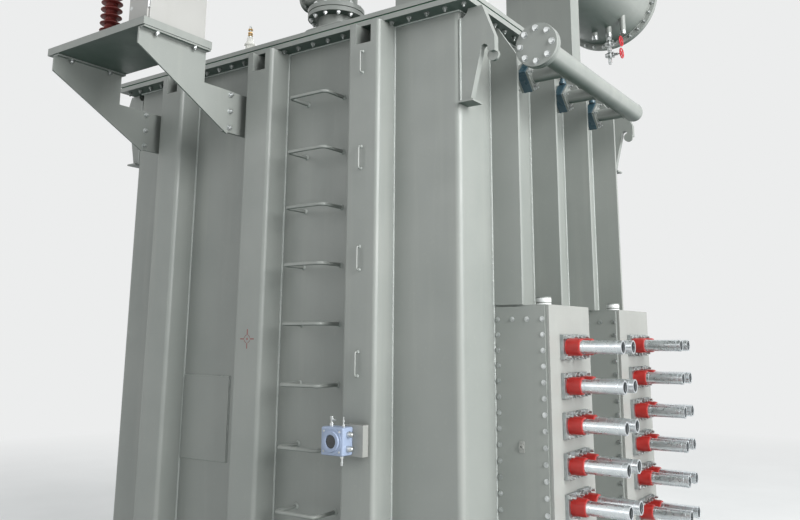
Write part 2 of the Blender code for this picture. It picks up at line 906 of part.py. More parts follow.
def build_cabinet(x_high, y_low, deck):
    x_low = x_high - cabinet_width
    y_high = y_low + cabinet_depth
    top = deck + cabinet_height
    bm = bmesh.new()
    add_box(bm, (x_low, y_low + cabinet_door_thickness, deck), (x_high, y_high, top))
    cabinet = add_object("control_cabinet", bm, cabinet_paint)
    bm = bmesh.new()
    margin = cabinet_door_margin
    add_box(
        bm,
        (x_low + margin, y_low, deck + margin),
        (x_high - margin, y_low + cabinet_door_thickness + embed, top - margin),
    )
    combine(cabinet, add_object("cabinet_door", bm, cabinet_paint), "UNION")

    bm = bmesh.new()
    block_x = x_low - terminal_block_size
    add_box(
        bm,
        (block_x - terminal_block_size, y_low + margin, deck),
        (block_x, y_low + margin + terminal_block_length, deck + terminal_block_height),
    )
    add_object("junction_block", bm, porcelain_white)


def build_sampler():
    face = front - stiffener_depth
    x = stiffener_places[2]
    z = sampler_height
    plate_x = x + sampler_plate_offset
    half_h = sampler_plate_height / 2
    bm = bmesh.new()
    outline = [
        (plate_x - sampler_plate_width / 2, face - seat_gap),
        (plate_x + sampler_plate_width / 2, face - seat_gap),
        (plate_x + sampler_plate_width / 2, face - sampler_stand_off - sampler_plate_thickness),
        (plate_x - sampler_plate_width / 2, face - sampler_stand_off - sampler_plate_thickness),
        (plate_x - sampler_plate_width / 2, face - sampler_stand_off),
        (plate_x + sampler_plate_width / 2 - sampler_plate_thickness, face - sampler_stand_off),
        (plate_x + sampler_plate_width / 2 - sampler_plate_thickness, face - sampler_plate_thickness),
        (plate_x - sampler_plate_width / 2, face - sampler_plate_thickness),
    ]
    add_prism(bm, outline, "Z", z - half_h, z + half_h)
    add_object("sampler_bracket", bm, sampler_paint)

    body_x = x - sampler_body_offset
    back_face = face - sampler_stand_off - sampler_plate_thickness - seat_gap
    bm = bmesh.new()
    outline = rounded_rectangle(
        body_x - sampler_width / 2,
        body_x + sampler_width / 2,
        z - sampler_body_height / 2,
        z + sampler_body_height / 2,
        sampler_bend,
        3,
    )
    add_prism(bm, outline, "Y", back_face - sampler_depth, back_face)
    body = add_object("gas_sampler", bm, sampler_paint, smooth=True)
    bm = bmesh.new()
    front_face = back_face - sampler_depth
    add_cylinder(
        bm,
        (body_x, z),
        "Y",
        sampler_window_radius,
        front_face - sampler_window_out,
        front_face + embed,
        20,
    )
    combine(body, add_object("sampler_window", bm, sampler_paint), "UNION")
    bm = bmesh.new()
    middle = back_face - sampler_depth / 2
    edge = body_x + sampler_width / 2
    for side in (-1, 1):
        level = z + side * sampler_body_height / 4
        add_cylinder(
            bm, (middle, level), "X", sampler_nut_radius, edge - embed, edge + sampler_nut_length, 6
        )
    combine(body, add_object("sampler_nuts", bm, sampler_paint), "UNION")
    bm = bmesh.new()
    top = z + sampler_body_height / 2
    low = z - sampler_body_height / 2
    reach = sampler_width / 4
    add_cylinder(
        bm, (body_x - reach, middle), "Z", sampler_cock_radius, top - embed, top + sampler_cock_length, 8
    )
    add_cylinder(
        bm, (body_x + reach, middle), "Z", sampler_cock_radius, low - sampler_cock_length, low + embed, 8
    )
    combine(body, add_object("sampler_cocks", bm, sampler_paint), "UNION")


def build_conservator():
    x = right - drum_from_right_wall
    y_start = front - drum_front
    y_end = y_start + drum_length
    z = drum_height
    bm = bmesh.new()
    profile = (
        (y_start, 0),
        (y_start, drum_radius),
        (y_end - drum_flange_thickness, drum_radius),
        (y_end - drum_flange_thickness, drum_flange_radius),
        (y_end - seat_gap, drum_flange_radius),
        (y_end - seat_gap, 0),
    )
    add_lathe(bm, profile, (x, z), "Y", 48)
    drum = add_object("conservator_drum", bm, tank_paint, smooth=True)
    stub_y = y_start + stub_from_drum_front
    bottom = z - drum_radius
    bm = bmesh.new()
    for i in range(3):
        stub_x = x + i * stub_pitch
        add_cylinder(bm, (stub_x, stub_y), "Z", stub_radius, bottom - stub_length / 2, z, 14)
    combine(drum, add_object("drum_stubs", bm, tank_paint), "UNION")

    bm = bmesh.new()
    profile = [(y_end, 0), (y_end, drum_flange_radius)]
    profile += [(y_end + drum_flange_thickness, drum_flange_radius)]
    profile += [
        (
            y_end + drum_flange_thickness + drum_dish * math.sin(math.radians(angle)),
            drum_radius * math.cos(math.radians(angle)),
        )
        for angle in (0, 15, 30, 50, 70)
    ]
    profile += [(y_end + drum_flange_thickness + drum_dish, 0)]
    add_lathe(bm, profile, (x, z), "Y", 48)
    add_object("conservator_end_cover", bm, tank_paint, smooth=True)

    for i, place in enumerate((pedestal_front, pedestal_rear)):
        y = front + place
        bm = bmesh.new()
        add_box(
            bm,
            (x - pedestal_width / 2, y, cover_top),
            (x + pedestal_width / 2, y + pedestal_depth, pedestal_top),
        )
        pedestal = add_object(f"conservator_pedestal_{i + 1}", bm, tank_paint, smooth=True)
        bm = bmesh.new()
        lap = pedestal_foot_lap
        add_box(
            bm,
            (x - pedestal_width / 2 - lap, y - lap, cover_top),
            (x + pedestal_width / 2 + lap, y + pedestal_depth + lap, cover_top + pedestal_foot_thickness),
        )
        combine(pedestal, add_object(f"pedestal_foot_{i + 1}", bm, tank_paint), "UNION")
        bm = bmesh.new()
        add_cylinder(
            bm,
            (x, z),
            "Y",
            drum_radius + seat_gap,
            y - overrun - lap,
            y + pedestal_depth + overrun + lap,
            96,
        )
        combine(pedestal, add_object(f"saddle_{i + 1}", bm, tank_paint), "DIFFERENCE")

    bm = bmesh.new()
    gauge_z = z - gauge_drop
    profile = (
        (y_start - seat_gap, 0),
        (y_start - seat_gap, gauge_neck_radius),
        (y_start - gauge_neck_length, gauge_neck_radius),
        (y_start - gauge_neck_length, gauge_radius),
        (y_start - gauge_neck_length - gauge_thickness, gauge_radius),
        (y_start - gauge_neck_length - gauge_thickness, 0),
    )
    add_lathe(bm, profile, (x, gauge_z), "Y", 28)
    add_object("oil_gauge", bm, valve_paint, smooth=True)

    # The drain valves hang on the second stub: two bodies in line, each with a handwheel on +X.
    valve_x = x + stub_pitch
    top = bottom - stub_length / 2 - seat_gap
    low = top - cluster_drop - cluster_pitch
    bm = bmesh.new()
    add_cylinder(bm, (valve_x, stub_y), "Z", cluster_body_radius / 2, low - stub_radius, top, 14)
    cluster = add_object("drain_valves", bm, bare_steel, smooth=True)
    for i in range(2):
        level = top - cluster_drop / 2 - i * cluster_pitch
        body_end = valve_x + cluster_body_radius
        wheel_start = body_end + wheel_stem_length
        profile = (
            (valve_x - cluster_body_radius, 0),
            (valve_x - cluster_body_radius, cluster_body_radius * end_share),
            (body_end, cluster_body_radius * end_share),
            (body_end, wheel_stem_radius),
            (wheel_start, wheel_stem_radius),
            (wheel_start, wheel_radius),
            (wheel_start + wheel_thickness, wheel_radius),
            (wheel_start + wheel_thickness, 0),
        )
        bm = bmesh.new()
        add_lathe(bm, profile, (stub_y, level), "X", 16)
        combine(cluster, add_object(f"drain_valve_{i + 1}", bm, bare_steel), "UNION")


def build_cover_fittings():
    x = right - turret_from_right_wall
    y = front + turret_from_front
    ring = cover_top + turret_neck_height
    head = ring + turret_flange_thickness * 2
    head_top = head + turret_head_height
    profile = (
        (cover_top, 0),
        (cover_top, turret_neck_radius),
        (ring, turret_neck_radius),
        (ring, turret_flange_radius),
        (ring + turret_flange_thickness * turret_seam_share, turret_flange_radius),
        (ring + turret_flange_thickness * turret_seam_share, turret_flange_radius * turret_seam_radius_share),
        (ring + turret_flange_thickness, turret_flange_radius * turret_seam_radius_share),
        (ring + turret_flange_thickness, turret_flange_radius),
        (head, turret_flange_radius),
        (head, turret_head_radius),
        (head_top - turret_flange_thickness, turret_head_radius),
        (head_top, turret_head_radius * end_share),
        (head_top, 0),
    )
    bm = bmesh.new()
    add_lathe(bm, profile, (x, y), "Z", 32)
    turret = add_object("cover_turret", bm, tank_paint, smooth=True)
    outlet_z = head + turret_outlet_rise
    outlet_end = x - turret_outlet_length
    profile = (
        (x, 0),
        (x, turret_outlet_radius),
        (outlet_end + turret_outlet_flange_thickness, turret_outlet_radius),
        (outlet_end + turret_outlet_flange_thickness, turret_outlet_flange_radius),
        (outlet_end, turret_outlet_flange_radius),
        (outlet_end, 0),
    )
    bm = bmesh.new()
    add_lathe(bm, profile, (y, outlet_z), "X", 20)
    combine(turret, add_object("turret_outlet", bm, tank_paint), "UNION")

    x = right - bushing_from_right_wall
    y = front + bushing_from_front
    radius = bushing_base_radius
    # Shares of the bushing's height and of its base radius, from the foot to the stud.
    bushing_shares = (
        (0, 0),
        (0, 1),
        (0.12, 1),
        (0.16, 0.62),
        (0.3, 0.58),
        (0.33, 0.72),
        (0.37, 0.72),
        (0.42, 0.5),
        (0.5, 0.46),
        (0.53, 0.6),
        (0.57, 0.6),
        (0.62, 0.38),
        (0.72, 0.34),
        (0.75, 0.22),
        (1, 0.2),
        (1, 0),
    )
    bm = bmesh.new()
    profile = [(cover_top + bushing_height * a, radius * b) for a, b in bushing_shares]
    add_lathe(bm, profile, (x, y), "Z", 20)
    add_object("cover_bushing", bm, porcelain_white, smooth=True)

    x = right - rail_from_right_wall
    y = front + rail_from_front
    corners = (
        (x - rail_length / 2, y, cover_top),
        (x - rail_length / 2, y, cover_top + rail_height),
        (x + rail_length / 2, y, cover_top + rail_height),
        (x + rail_length / 2, y, cover_top),
    )
    bm = bmesh.new()
    add_bar(bm, rounded_path(corners, rail_bend), rail_radius, 10, Vector((0, 1, 0)))
    add_object("cover_rail", bm, tank_paint, smooth=True)


build_base()
build_tank()
build_top()
build_stiffeners()
build_fins()
build_terminal_box(0)
build_terminal_box(1)
build_rungs()
build_lugs()
build_header()
build_platform()
build_sampler()
build_conservator()
build_cover_fittings()
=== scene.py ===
"""The looks of the power transformer: enamelled steel, its welds and fasteners, the rods of the terminal
boxes, the fittings on the platform and the cover, the floor, the lights and the camera. Metres, +Z up."""

import json
import math

import bmesh
import bpy
from mathutils import Matrix, Vector


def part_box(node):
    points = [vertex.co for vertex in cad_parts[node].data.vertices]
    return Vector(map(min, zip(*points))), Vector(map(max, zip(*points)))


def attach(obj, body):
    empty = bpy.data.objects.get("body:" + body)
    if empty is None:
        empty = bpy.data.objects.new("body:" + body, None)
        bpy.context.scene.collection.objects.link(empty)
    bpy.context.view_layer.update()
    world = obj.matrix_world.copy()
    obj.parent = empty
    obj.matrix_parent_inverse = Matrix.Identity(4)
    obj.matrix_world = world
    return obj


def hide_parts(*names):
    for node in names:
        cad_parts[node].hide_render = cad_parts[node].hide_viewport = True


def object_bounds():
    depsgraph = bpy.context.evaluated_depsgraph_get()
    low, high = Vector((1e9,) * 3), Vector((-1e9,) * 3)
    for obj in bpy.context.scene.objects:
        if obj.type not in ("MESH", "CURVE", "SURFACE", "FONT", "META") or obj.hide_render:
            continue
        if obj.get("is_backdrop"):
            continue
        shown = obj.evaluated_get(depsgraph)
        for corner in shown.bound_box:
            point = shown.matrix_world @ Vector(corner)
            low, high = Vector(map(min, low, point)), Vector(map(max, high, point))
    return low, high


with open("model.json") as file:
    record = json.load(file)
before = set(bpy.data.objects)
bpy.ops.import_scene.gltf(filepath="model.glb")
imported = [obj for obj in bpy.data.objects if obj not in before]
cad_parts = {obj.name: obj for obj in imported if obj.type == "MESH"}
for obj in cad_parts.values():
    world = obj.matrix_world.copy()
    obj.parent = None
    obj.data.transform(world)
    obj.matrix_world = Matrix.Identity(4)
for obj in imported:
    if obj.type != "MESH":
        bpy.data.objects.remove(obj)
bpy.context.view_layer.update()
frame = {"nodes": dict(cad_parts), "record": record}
nodes = frame["nodes"]

X, Y, Z = Vector((1, 0, 0)), Vector((0, 1, 0)), Vector((0, 0, 1))


# Materials


def linear(code):
    """A colour written as sRGB hex, as linear red, green, blue and alpha."""
    channels = [int(code[i : i + 2], 16) / 255 for i in (1, 3, 5)]
    return tuple(c / 12.92 if c <= 0.04045 else ((c + 0.055) / 1.055) ** 2.4 for c in channels) + (1.0,)


def add_node(tree, kind, settings=(), inputs=()):
    """Adds a node with its settings. An input is a value, or the output that it is linked to."""
    node = tree.nodes.new(kind)
    for name, value in dict(settings).items():
        setattr(node, name, value)
    for name, value in dict(inputs).items():
        if isinstance(value, bpy.types.NodeSocket):
            tree.links.new(value, node.inputs[name])
        else:
            node.inputs[name].default_value = value
    return node


def per_metre(millimetres):
    """The scale of a pattern whose features are this far apart."""
    return 1000 / millimetres


def start_material(name, roughness, metallic=0.0, coat=0.0, ior=1.5):
    """A new material with its tree, its shader and the Object coordinates that its patterns read."""
    material = bpy.data.materials.new(name)
    material.use_nodes = True
    tree = material.node_tree
    shader = tree.nodes["Principled BSDF"]
    shader.inputs["Roughness"].default_value = roughness
    shader.inputs["Metallic"].default_value = metallic
    shader.inputs["Coat Weight"].default_value = coat
    shader.inputs["IOR"].default_value = ior
    place = add_node(tree, "ShaderNodeTexCoord").outputs["Object"]
    return material, tree, shader, place


def noise(tree, place, millimetres, detail=2.0, stretch=(1, 1, 1)):
    """Soft random clouds this many millimetres across, from 0 to 1."""
    if stretch != (1, 1, 1):
        place = add_node(tree, "ShaderNodeMapping", inputs={"Vector": place, "Scale": stretch}).outputs[0]
    made = add_node(
        tree,
        "ShaderNodeTexNoise",
        inputs={"Vector": place, "Scale": per_metre(millimetres), "Detail": detail, "Roughness": 0.55},
    )
    return made.outputs["Fac"]


def spread(tree, value, low, high, from_low=0.3, from_high=0.7):
    """A value turned from one range to another, and held within it."""
    made = add_node(
        tree,
        "ShaderNodeMapRange",
        inputs={"Value": value, "From Min": from_low, "From Max": from_high, "To Min": low, "To Max": high},
    )
    return made.outputs["Result"]


def blend_colours(tree, share, first, second):
    """The first colour where the share is 0, and the second where it is 1."""
    made = add_node(tree, "ShaderNodeMix", {"data_type": "RGBA"}, {"Factor": share, 6: first, 7: second})
    return made.outputs[2]


def bump(tree, height, distance_mm, strength, under=None):
    """A normal tilted by a pattern of heights, on top of the one under it."""
    inputs = {"Height": height, "Distance": distance_mm / 1000, "Strength": strength}
    if under is not None:
        inputs["Normal"] = under
    return add_node(tree, "ShaderNodeBump", inputs=inputs).outputs["Normal"]


def enamel(name, tone, shade, dust, underside_painted_shade, roughness, peel_mm=14, dent_mm=420, dent=0.5):
    """Air-dried alkyd enamel, sprayed on welded steel plate: soft clouds of tone from uneven coats, faint
    runs and dust down the walls, orange peel, and plates that are drawn a little out of true by welding.
    Real orange peel is 2 to 4 mm across; it is drawn coarser so that it shows."""
    material, tree, shader, place = start_material(name, roughness)
    clouds = spread(tree, noise(tree, place, 520, 3), 0, 1)
    colour = blend_colours(tree, clouds, linear(tone), linear(shade))
    runs = spread(tree, noise(tree, place, 90, 3, (1, 1, 0.06)), 0, 0.22, 0.52, 0.75)
    colour = blend_colours(tree, runs, colour, linear(dust))
    specks = spread(tree, noise(tree, place, 26, 4), 0, 0.12, 0.6, 0.75)
    colour = blend_colours(tree, specks, colour, linear(dust))
    # Painted shade: faces that look down are drawn in the darker underside colour.
    facing = add_node(tree, "ShaderNodeNewGeometry").outputs["Normal"]
    height = add_node(tree, "ShaderNodeSeparateXYZ", inputs={"Vector": facing}).outputs["Z"]
    colour = blend_colours(tree, spread(tree, height, 1, 0, -0.98, -0.55), colour, linear(underside_painted_shade))
    tree.links.new(colour, shader.inputs["Base Color"])
    sheen = spread(tree, noise(tree, place, 160, 3), roughness - 0.06, roughness + 0.08)
    tree.links.new(sheen, shader.inputs["Roughness"])
    drawn = bump(tree, noise(tree, place, dent_mm, 1), 6, dent)
    peel = bump(tree, noise(tree, place, peel_mm, 2), 0.25, 0.35, drawn)
    tree.links.new(peel, shader.inputs["Normal"])
    return material


def plain_metal(name, tone, shade, roughness, grain_mm, stretch=(1, 1, 1), grain_depth_mm=0.08):
    """Bare or plated metal: the tone wanders with the plating, and the grain is what tools left."""
    material, tree, shader, place = start_material(name, roughness, metallic=1.0)
    patches = spread(tree, noise(tree, place, 30, 3), 0, 1)
    colour = blend_colours(tree, patches, linear(tone), linear(shade))
    tree.links.new(colour, shader.inputs["Base Color"])
    sheen = spread(tree, noise(tree, place, 18, 3), roughness - 0.07, roughness + 0.1)
    tree.links.new(sheen, shader.inputs["Roughness"])
    grain = bump(tree, noise(tree, place, grain_mm, 2, stretch), grain_depth_mm, 0.4)
    tree.links.new(grain, shader.inputs["Normal"])
    return material


def moulded(name, tone, shade, roughness, grain_mm, grain_depth_mm=0.15, coat=0.0, ior=1.5):
    """A cast or moulded surface: an even body colour with a faint marbling, and the skin of its mould."""
    material, tree, shader, place = start_material(name, roughness, coat=coat, ior=ior)
    marbling = spread(tree, noise(tree, place, 45, 3), 0, 1)
    colour = blend_colours(tree, marbling, linear(tone), linear(shade))
    tree.links.new(colour, shader.inputs["Base Color"])
    sheen = spread(tree, noise(tree, place, 22, 2), roughness - 0.04, roughness + 0.06)
    tree.links.new(sheen, shader.inputs["Roughness"])
    skin = bump(tree, noise(tree, place, grain_mm, 2), grain_depth_mm, 0.3)
    tree.links.new(skin, shader.inputs["Normal"])
    return material


# Grey-green alkyd enamel on mild steel: a soft eggshell sheen that picks up the windows.
tank_enamel = enamel("grey_green_enamel", "#8f938f", "#868b87", "#a3a59f", "#34443d", 0.4)
# The same coat over a weld bead: thicker and shinier on its ripples, which are 5 to 8 mm apart. It is drawn
# lighter than the walls, with pale specks: painted highlight of the beads' glints.
weld_enamel_painted_highlight = enamel("enamel_on_weld_painted_highlight", "#aab0ac", "#9da39f", "#c3c7c3", "#5d6a64", 0.3, 7, 12, 0.9)
# Pale warm grey enamel on the boxes' terminal panels.
panel_enamel = enamel("pale_grey_enamel", "#979995", "#90928e", "#a1a29d", "#5f6460", 0.45, dent=0.2)
# Dark blue-grey enamel on cast valve bodies.
valve_enamel = enamel("blue_grey_enamel", "#3b5762", "#324b56", "#5a6f78", "#1f3138", 0.3, 5, 60, 0.3)
# Near-white polyester powder coat on sheet steel: fine, even orange peel.
cabinet_coat = enamel("white_powder_coat", "#a9a9a6", "#a3a3a0", "#9d9d98", "#7b7c79", 0.38, 5, dent=0.12)
# Pale blue-grey enamel on cast aluminium.
sampler_enamel = enamel("pale_blue_enamel", "#98a6bd", "#8e9cb4", "#87929f", "#5b687c", 0.34, 4, 50, 0.2)
# Zinc-plated steel: grey, half bright, clouded by the plating bath.
zinc_plate = plain_metal("zinc_plated_steel", "#d3d6d6", "#a9adac", 0.34, 3)
# Older zinc plating, half painted over: dull grey with few glints.
dull_zinc = plain_metal("dull_zinc_plating", "#a3a7a5", "#6f7672", 0.5, 3)
# Turned and tin-plated aluminium tube: satin bright, with fine rings left by the lathe.
tube_metal = plain_metal("turned_aluminium", "#dfe3e5", "#d0d6d9", 0.3, 6, (9, 1, 1), 0.02)
# Rolled aluminium plate of the rods' flanges.
flange_metal = plain_metal("rolled_aluminium", "#b9bebf", "#9ea4a5", 0.4, 3, (1, 1, 0.2))
# Inside of the tubes: dull, oxidised and in shadow.
bore_metal = plain_metal("oxidised_bore", "#9ea2a4", "#85898b", 0.55, 4)
# Machined brass of the small cocks.
cock_brass = plain_metal("machined_brass", "#c9a876", "#b59461", 0.3, 3)
# Dough-moulded epoxy of the rods' insulators: opaque red with a satin skin.
insulator_red = moulded("red_epoxy", "#a82a25", "#99221e", 0.36, 4)
# Silicone rubber sheds of the arrester: dark brown-red, soft sheen, dust on top.
shed_red = moulded("silicone_rubber", "#7c302b", "#6b2622", 0.48, 6)
# Red gloss enamel on the cast handwheels.
wheel_red = moulded("red_enamel", "#c22531", "#ad1f2a", 0.28, 5)
# Glazed porcelain: hard white glaze over a faintly grey body.
glaze_white = moulded("glazed_porcelain", "#e4e4de", "#dadad3", 0.14, 14, 0.1, coat=0.5)
# Injection-moulded polypropylene of the plugs on the boxes.
plug_white = moulded("white_polypropylene", "#e9ebea", "#dfe2e1", 0.4, 6)
# Nitrile and cork sheet: dark green, open grain. It is drawn a brighter green than its own, as painted light,
# since it sits in shade between rim and cover.
gasket_green_painted_light = moulded("nitrile_cork", "#2f6b4c", "#245640", 0.75, 3, 0.3)
# Tempered glass over a dark chamber, drawn opaque and near black: painted shade of the chamber behind it.
sight_glass_painted_shade = moulded("sight_glass_painted_shade", "#14191c", "#1d2428", 0.05, 60, 0.02, coat=0.6, ior=1.52)
# Painted mark, brushed on thin over the enamel.
mark_red = moulded("red_marking_paint", "#8c4340", "#7d5552", 0.5, 4)
# Pale dial card behind its glass, with black ticks.
dial_card = moulded("dial_card", "#ecebe4", "#e5e4dc", 0.5, 8)
tick_black = moulded("black_ink", "#1b1c1d", "#222324", 0.5, 8)


# Making pieces


def add_piece(name, bm, material, stands_for=(), sharp=35, clean=True):
    """Finishes a mesh as a piece that rides on the transformer, at the origin, with its place in the mesh."""
    if clean:
        bmesh.ops.remove_doubles(bm, verts=bm.verts, dist=0.00001)
        bmesh.ops.recalc_face_normals(bm, faces=bm.faces)
    mesh = bpy.data.meshes.new(name)
    bm.to_mesh(mesh)
    bm.free()
    mesh.materials.append(material)
    mesh.shade_smooth()
    mesh.set_sharp_from_angle(angle=math.radians(sharp))
    piece = bpy.data.objects.new(name, mesh)
    bpy.context.scene.collection.objects.link(piece)
    # Large flat faces lead the shading, so bends and rounded edges stay narrow.
    piece.modifiers.new("even_shading", "WEIGHTED_NORMAL").keep_sharp = True
    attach(piece, "root")
    if stands_for:
        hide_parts(*stands_for)
    return piece


def keep_shape(bm, name):
    """Stores a small mesh that is stamped many times."""
    bmesh.ops.remove_doubles(bm, verts=bm.verts, dist=0.00001)
    bmesh.ops.recalc_face_normals(bm, faces=bm.faces)
    mesh = bpy.data.meshes.new(name)
    bm.to_mesh(mesh)
    bm.free()
    return mesh


def stamp(bm, shape, place, along=Z, turn=0.0):
    """Adds a copy of a stored shape, its own Z turned to point along a direction."""
    facing = Vector(along).to_track_quat("Z", "Y").to_matrix().to_4x4()
    copy = shape.copy()
    copy.transform(Matrix.Translation(Vector(place)) @ facing @ Matrix.Rotation(turn, 4, "Z"))
    bm.from_mesh(copy)
    bpy.data.meshes.remove(copy)


def block(bm, low, high, edge=0.0, segments=2):
    """A box between two corners, with its edges rounded."""
    low, high = Vector(low), Vector(high)
    made = bmesh.ops.create_cube(bm, size=1)["verts"]
    bmesh.ops.scale(bm, vec=high - low, verts=made)
    bmesh.ops.translate(bm, vec=(low + high) / 2, verts=made)
    if edge:
        edges = list({e for v in made for e in v.link_edges})
        bmesh.ops.bevel(
            bm, geom=edges, offset=edge, segments=segments, profile=0.5, affect="EDGES", material=-1
        )


def turned(bm, profile, centre=(0, 0, 0), along=Z, steps=48):
    """Spins a profile of (distance along, radius) points about a line through centre."""
    centre, along = Vector(centre), Vector(along)
    out = X if abs(along.x) < 0.5 else Y
    verts = [bm.verts.new(centre + along * d + out * r) for d, r in profile]
    edges = [bm.edges.new(pair) for pair in zip(verts, verts[1:])]
    bmesh.ops.spin(
        bm,
        geom=verts + edges,
        cent=centre,
        axis=along,
        angle=2 * math.pi,
        steps=steps,
        use_merge=True,
        use_duplicate=False,
    )


def stepped(start, *steps):
    """The profile of a turned piece with square shoulders: each step is where it ends, and its radius."""
    profile, at = [(start, 0)], start
    for end, radius in steps:
        profile += [(at, radius), (end, radius)]
        at = end
    return profile + [(at, 0)]


def soften(profile, cut=0.002):
    """The same profile with each corner off the axis cut back, so that its edges catch the light."""
    points = [Vector(p) for p in profile]
    made = [points[0]]
    for before, corner, after in zip(points, points[1:], points[2:]):
        back, on = before - corner, after - corner
        take = min(cut, back.length / 3, on.length / 3)
        turn = back.angle(on) if back.length and on.length else math.pi
        if turn > math.radians(165) or take < 0.0002:
            made.append(corner)
            continue
        into, out = corner + back.normalized() * take, corner + on.normalized() * take
        made += [into, (into + out + corner * 2) / 4, out]
    made.append(points[-1])
    return [tuple(p) for p in made]


def rod(bm, start, end, radius, sides=8):
    """A straight round bar between two points."""
    start, end = Vector(start), Vector(end)
    made = bmesh.ops.create_cone(
        bm, cap_ends=True, segments=sides, radius1=radius, radius2=radius, depth=(end - start).length
    )["verts"]
    facing = (end - start).to_track_quat("Z", "Y").to_matrix().to_4x4()
    bmesh.ops.transform(bm, matrix=Matrix.Translation((start + end) / 2) @ facing, verts=made)


def ring(bm, centre, along, radius, thickness, steps=32, sides=10):
    """A round bar bent into a ring."""
    centre, along = Vector(centre), Vector(along)
    out = X if abs(along.x) < 0.5 else Y
    made = bmesh.ops.create_circle(bm, cap_ends=False, segments=sides, radius=thickness)["verts"]
    facing = out.cross(along).to_track_quat("Z", "Y").to_matrix().to_4x4()
    bmesh.ops.transform(bm, matrix=Matrix.Translation(centre + out * radius) @ facing, verts=made)
    edges = list({e for v in made for e in v.link_edges})
    bmesh.ops.spin(
        bm,
        geom=made + edges,
        cent=centre,
        axis=along,
        angle=2 * math.pi,
        steps=steps,
        use_merge=True,
        use_duplicate=False,
    )


def fastener(name, head, head_height, washer=0.0, washer_height=0.0, stud=0.0, stud_length=0.0):
    """A hexagon head or nut on its washer, with the end of its stud. Its seat is at 0, and it points up."""
    bm = bmesh.new()
    top = washer_height + head_height
    if washer:
        turned(bm, soften(stepped(0, (washer_height, washer)), 0.0006), steps=18)
    made = bmesh.ops.create_cone(
        bm, cap_ends=True, segments=6, radius1=head, radius2=head, depth=head_height
    )["verts"]
    bmesh.ops.translate(bm, vec=(0, 0, washer_height + head_height / 2), verts=made)
    rim = list({e for v in made for e in v.link_edges if all(w.co.z > top - 0.0001 for w in e.verts)})
    bmesh.ops.bevel(bm, geom=rim, offset=head * 0.16, segments=2, profile=0.5, affect="EDGES", material=-1)
    if stud:
        root, shoulder, tip = top - 0.001, top + stud_length * 0.8, top + stud_length
        turned(bm, [(root, 0), (root, stud), (shoulder, stud), (tip, stud * 0.7), (tip, 0)], steps=10)
    return keep_shape(bm, name)


def merged_copy(name):
    """A bmesh of a CAD node's shape with its loose triangles joined and its flat faces whole."""
    bm = bmesh.new()
    bm.from_mesh(nodes[name].data)
    bmesh.ops.remove_doubles(bm, verts=bm.verts, dist=0.00002)
    bmesh.ops.dissolve_limit(bm, angle_limit=math.radians(0.4), verts=bm.verts, edges=bm.edges)
    return bm


def dressed(name, material, edge=0.0, sharp=30, segments=2):
    """A node's own shape, with its corners eased as a grinder leaves them and its bends smooth."""
    bm = merged_copy(name)
    if edge:
        geom = [
            e
            for e in bm.edges
            if len(e.link_faces) == 2
            and e.calc_length() > edge * 4
            and e.calc_face_angle(0) > math.radians(50)
            and e.is_convex
        ]
        bmesh.ops.bevel(
            bm,
            geom=geom,
            offset=edge,
            segments=segments,
            profile=0.5,
            affect="EDGES",
            material=-1,
            clamp_overlap=True,
        )
    return add_piece(name + "_dressed", bm, material, (name,), sharp, clean=False)


def middle(low, high):
    """The point halfway between two."""
    return (low + high) / 2


# CAD nodes that keep their shape

finish_of = {
    "tank_paint": tank_enamel,
    "panel_paint": panel_enamel,
    "gasket_rubber": gasket_green_painted_light,
    "valve_paint": valve_enamel,
    "cabinet_paint": cabinet_coat,
    "arrester_red": shed_red,
    "sampler_paint": sampler_enamel,
    "porcelain_white": glaze_white,
    "bare_steel": zinc_plate,
}
for part in frame["record"]["subparts"]:
    node = nodes[part["node"]]
    if not node.material_slots:
        node.data.materials.append(None)
    for place in node.material_slots:
        place.material = finish_of[part["material_slot"]]

# The tank and its ribs

dressed("tank_body", tank_enamel)
for side in ("front", "back"):
    for i in (1, 2, 3):
        dressed(f"{side}_stiffener_{i}", tank_enamel)
for i in range(1, 5):
    dressed(f"right_fin_{i}", tank_enamel, 0.002)
    dressed(f"left_fin_{i}", tank_enamel, 0.002)
    dressed(f"lifting_lug_{i}", tank_enamel, sharp=40)
for i in range(1, 10):
    dressed(f"ladder_rung_{i}", tank_enamel, sharp=60)
dressed("cover_rail", tank_enamel, sharp=60)
for i in (1, 2):
    dressed(f"terminal_box_{i}", tank_enamel)
    dressed(f"platform_bracket_{i}", tank_enamel)
    dressed(f"conservator_pedestal_{i}", tank_enamel)
dressed("platform_tray", tank_enamel)
dressed("junction_block", cabinet_coat, 0.006, segments=3)
dressed("sampler_bracket", panel_enamel, 0.0015)

tank_low, tank_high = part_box("tank_body")
wall_right, wall_back = 1.237, 1.0065
wall_front, wall_left = -wall_back, -wall_right
tank_floor, tank_top = tank_low.z, tank_high.z
rim_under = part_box("rim_flange")[0].z
cover_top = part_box("cover_plate")[1].z
rib_middles = (-0.749, 0.0, 0.749)
rib_face = -1.1485
fin_middles = (-0.6915, -0.2305, 0.2305, 0.6915)
lug_inner, lug_outer = 0.9575, 0.9955
box_roof = 1.617
bracket_top = 2.828

# Fillet welds along the tank's joints: plain round beads, whose ripples their enamel draws.
bead = bmesh.new()
bead_radius = 0.0065


def weld(start, end):
    """One straight weld bead."""
    rod(bead, start, end, bead_radius)


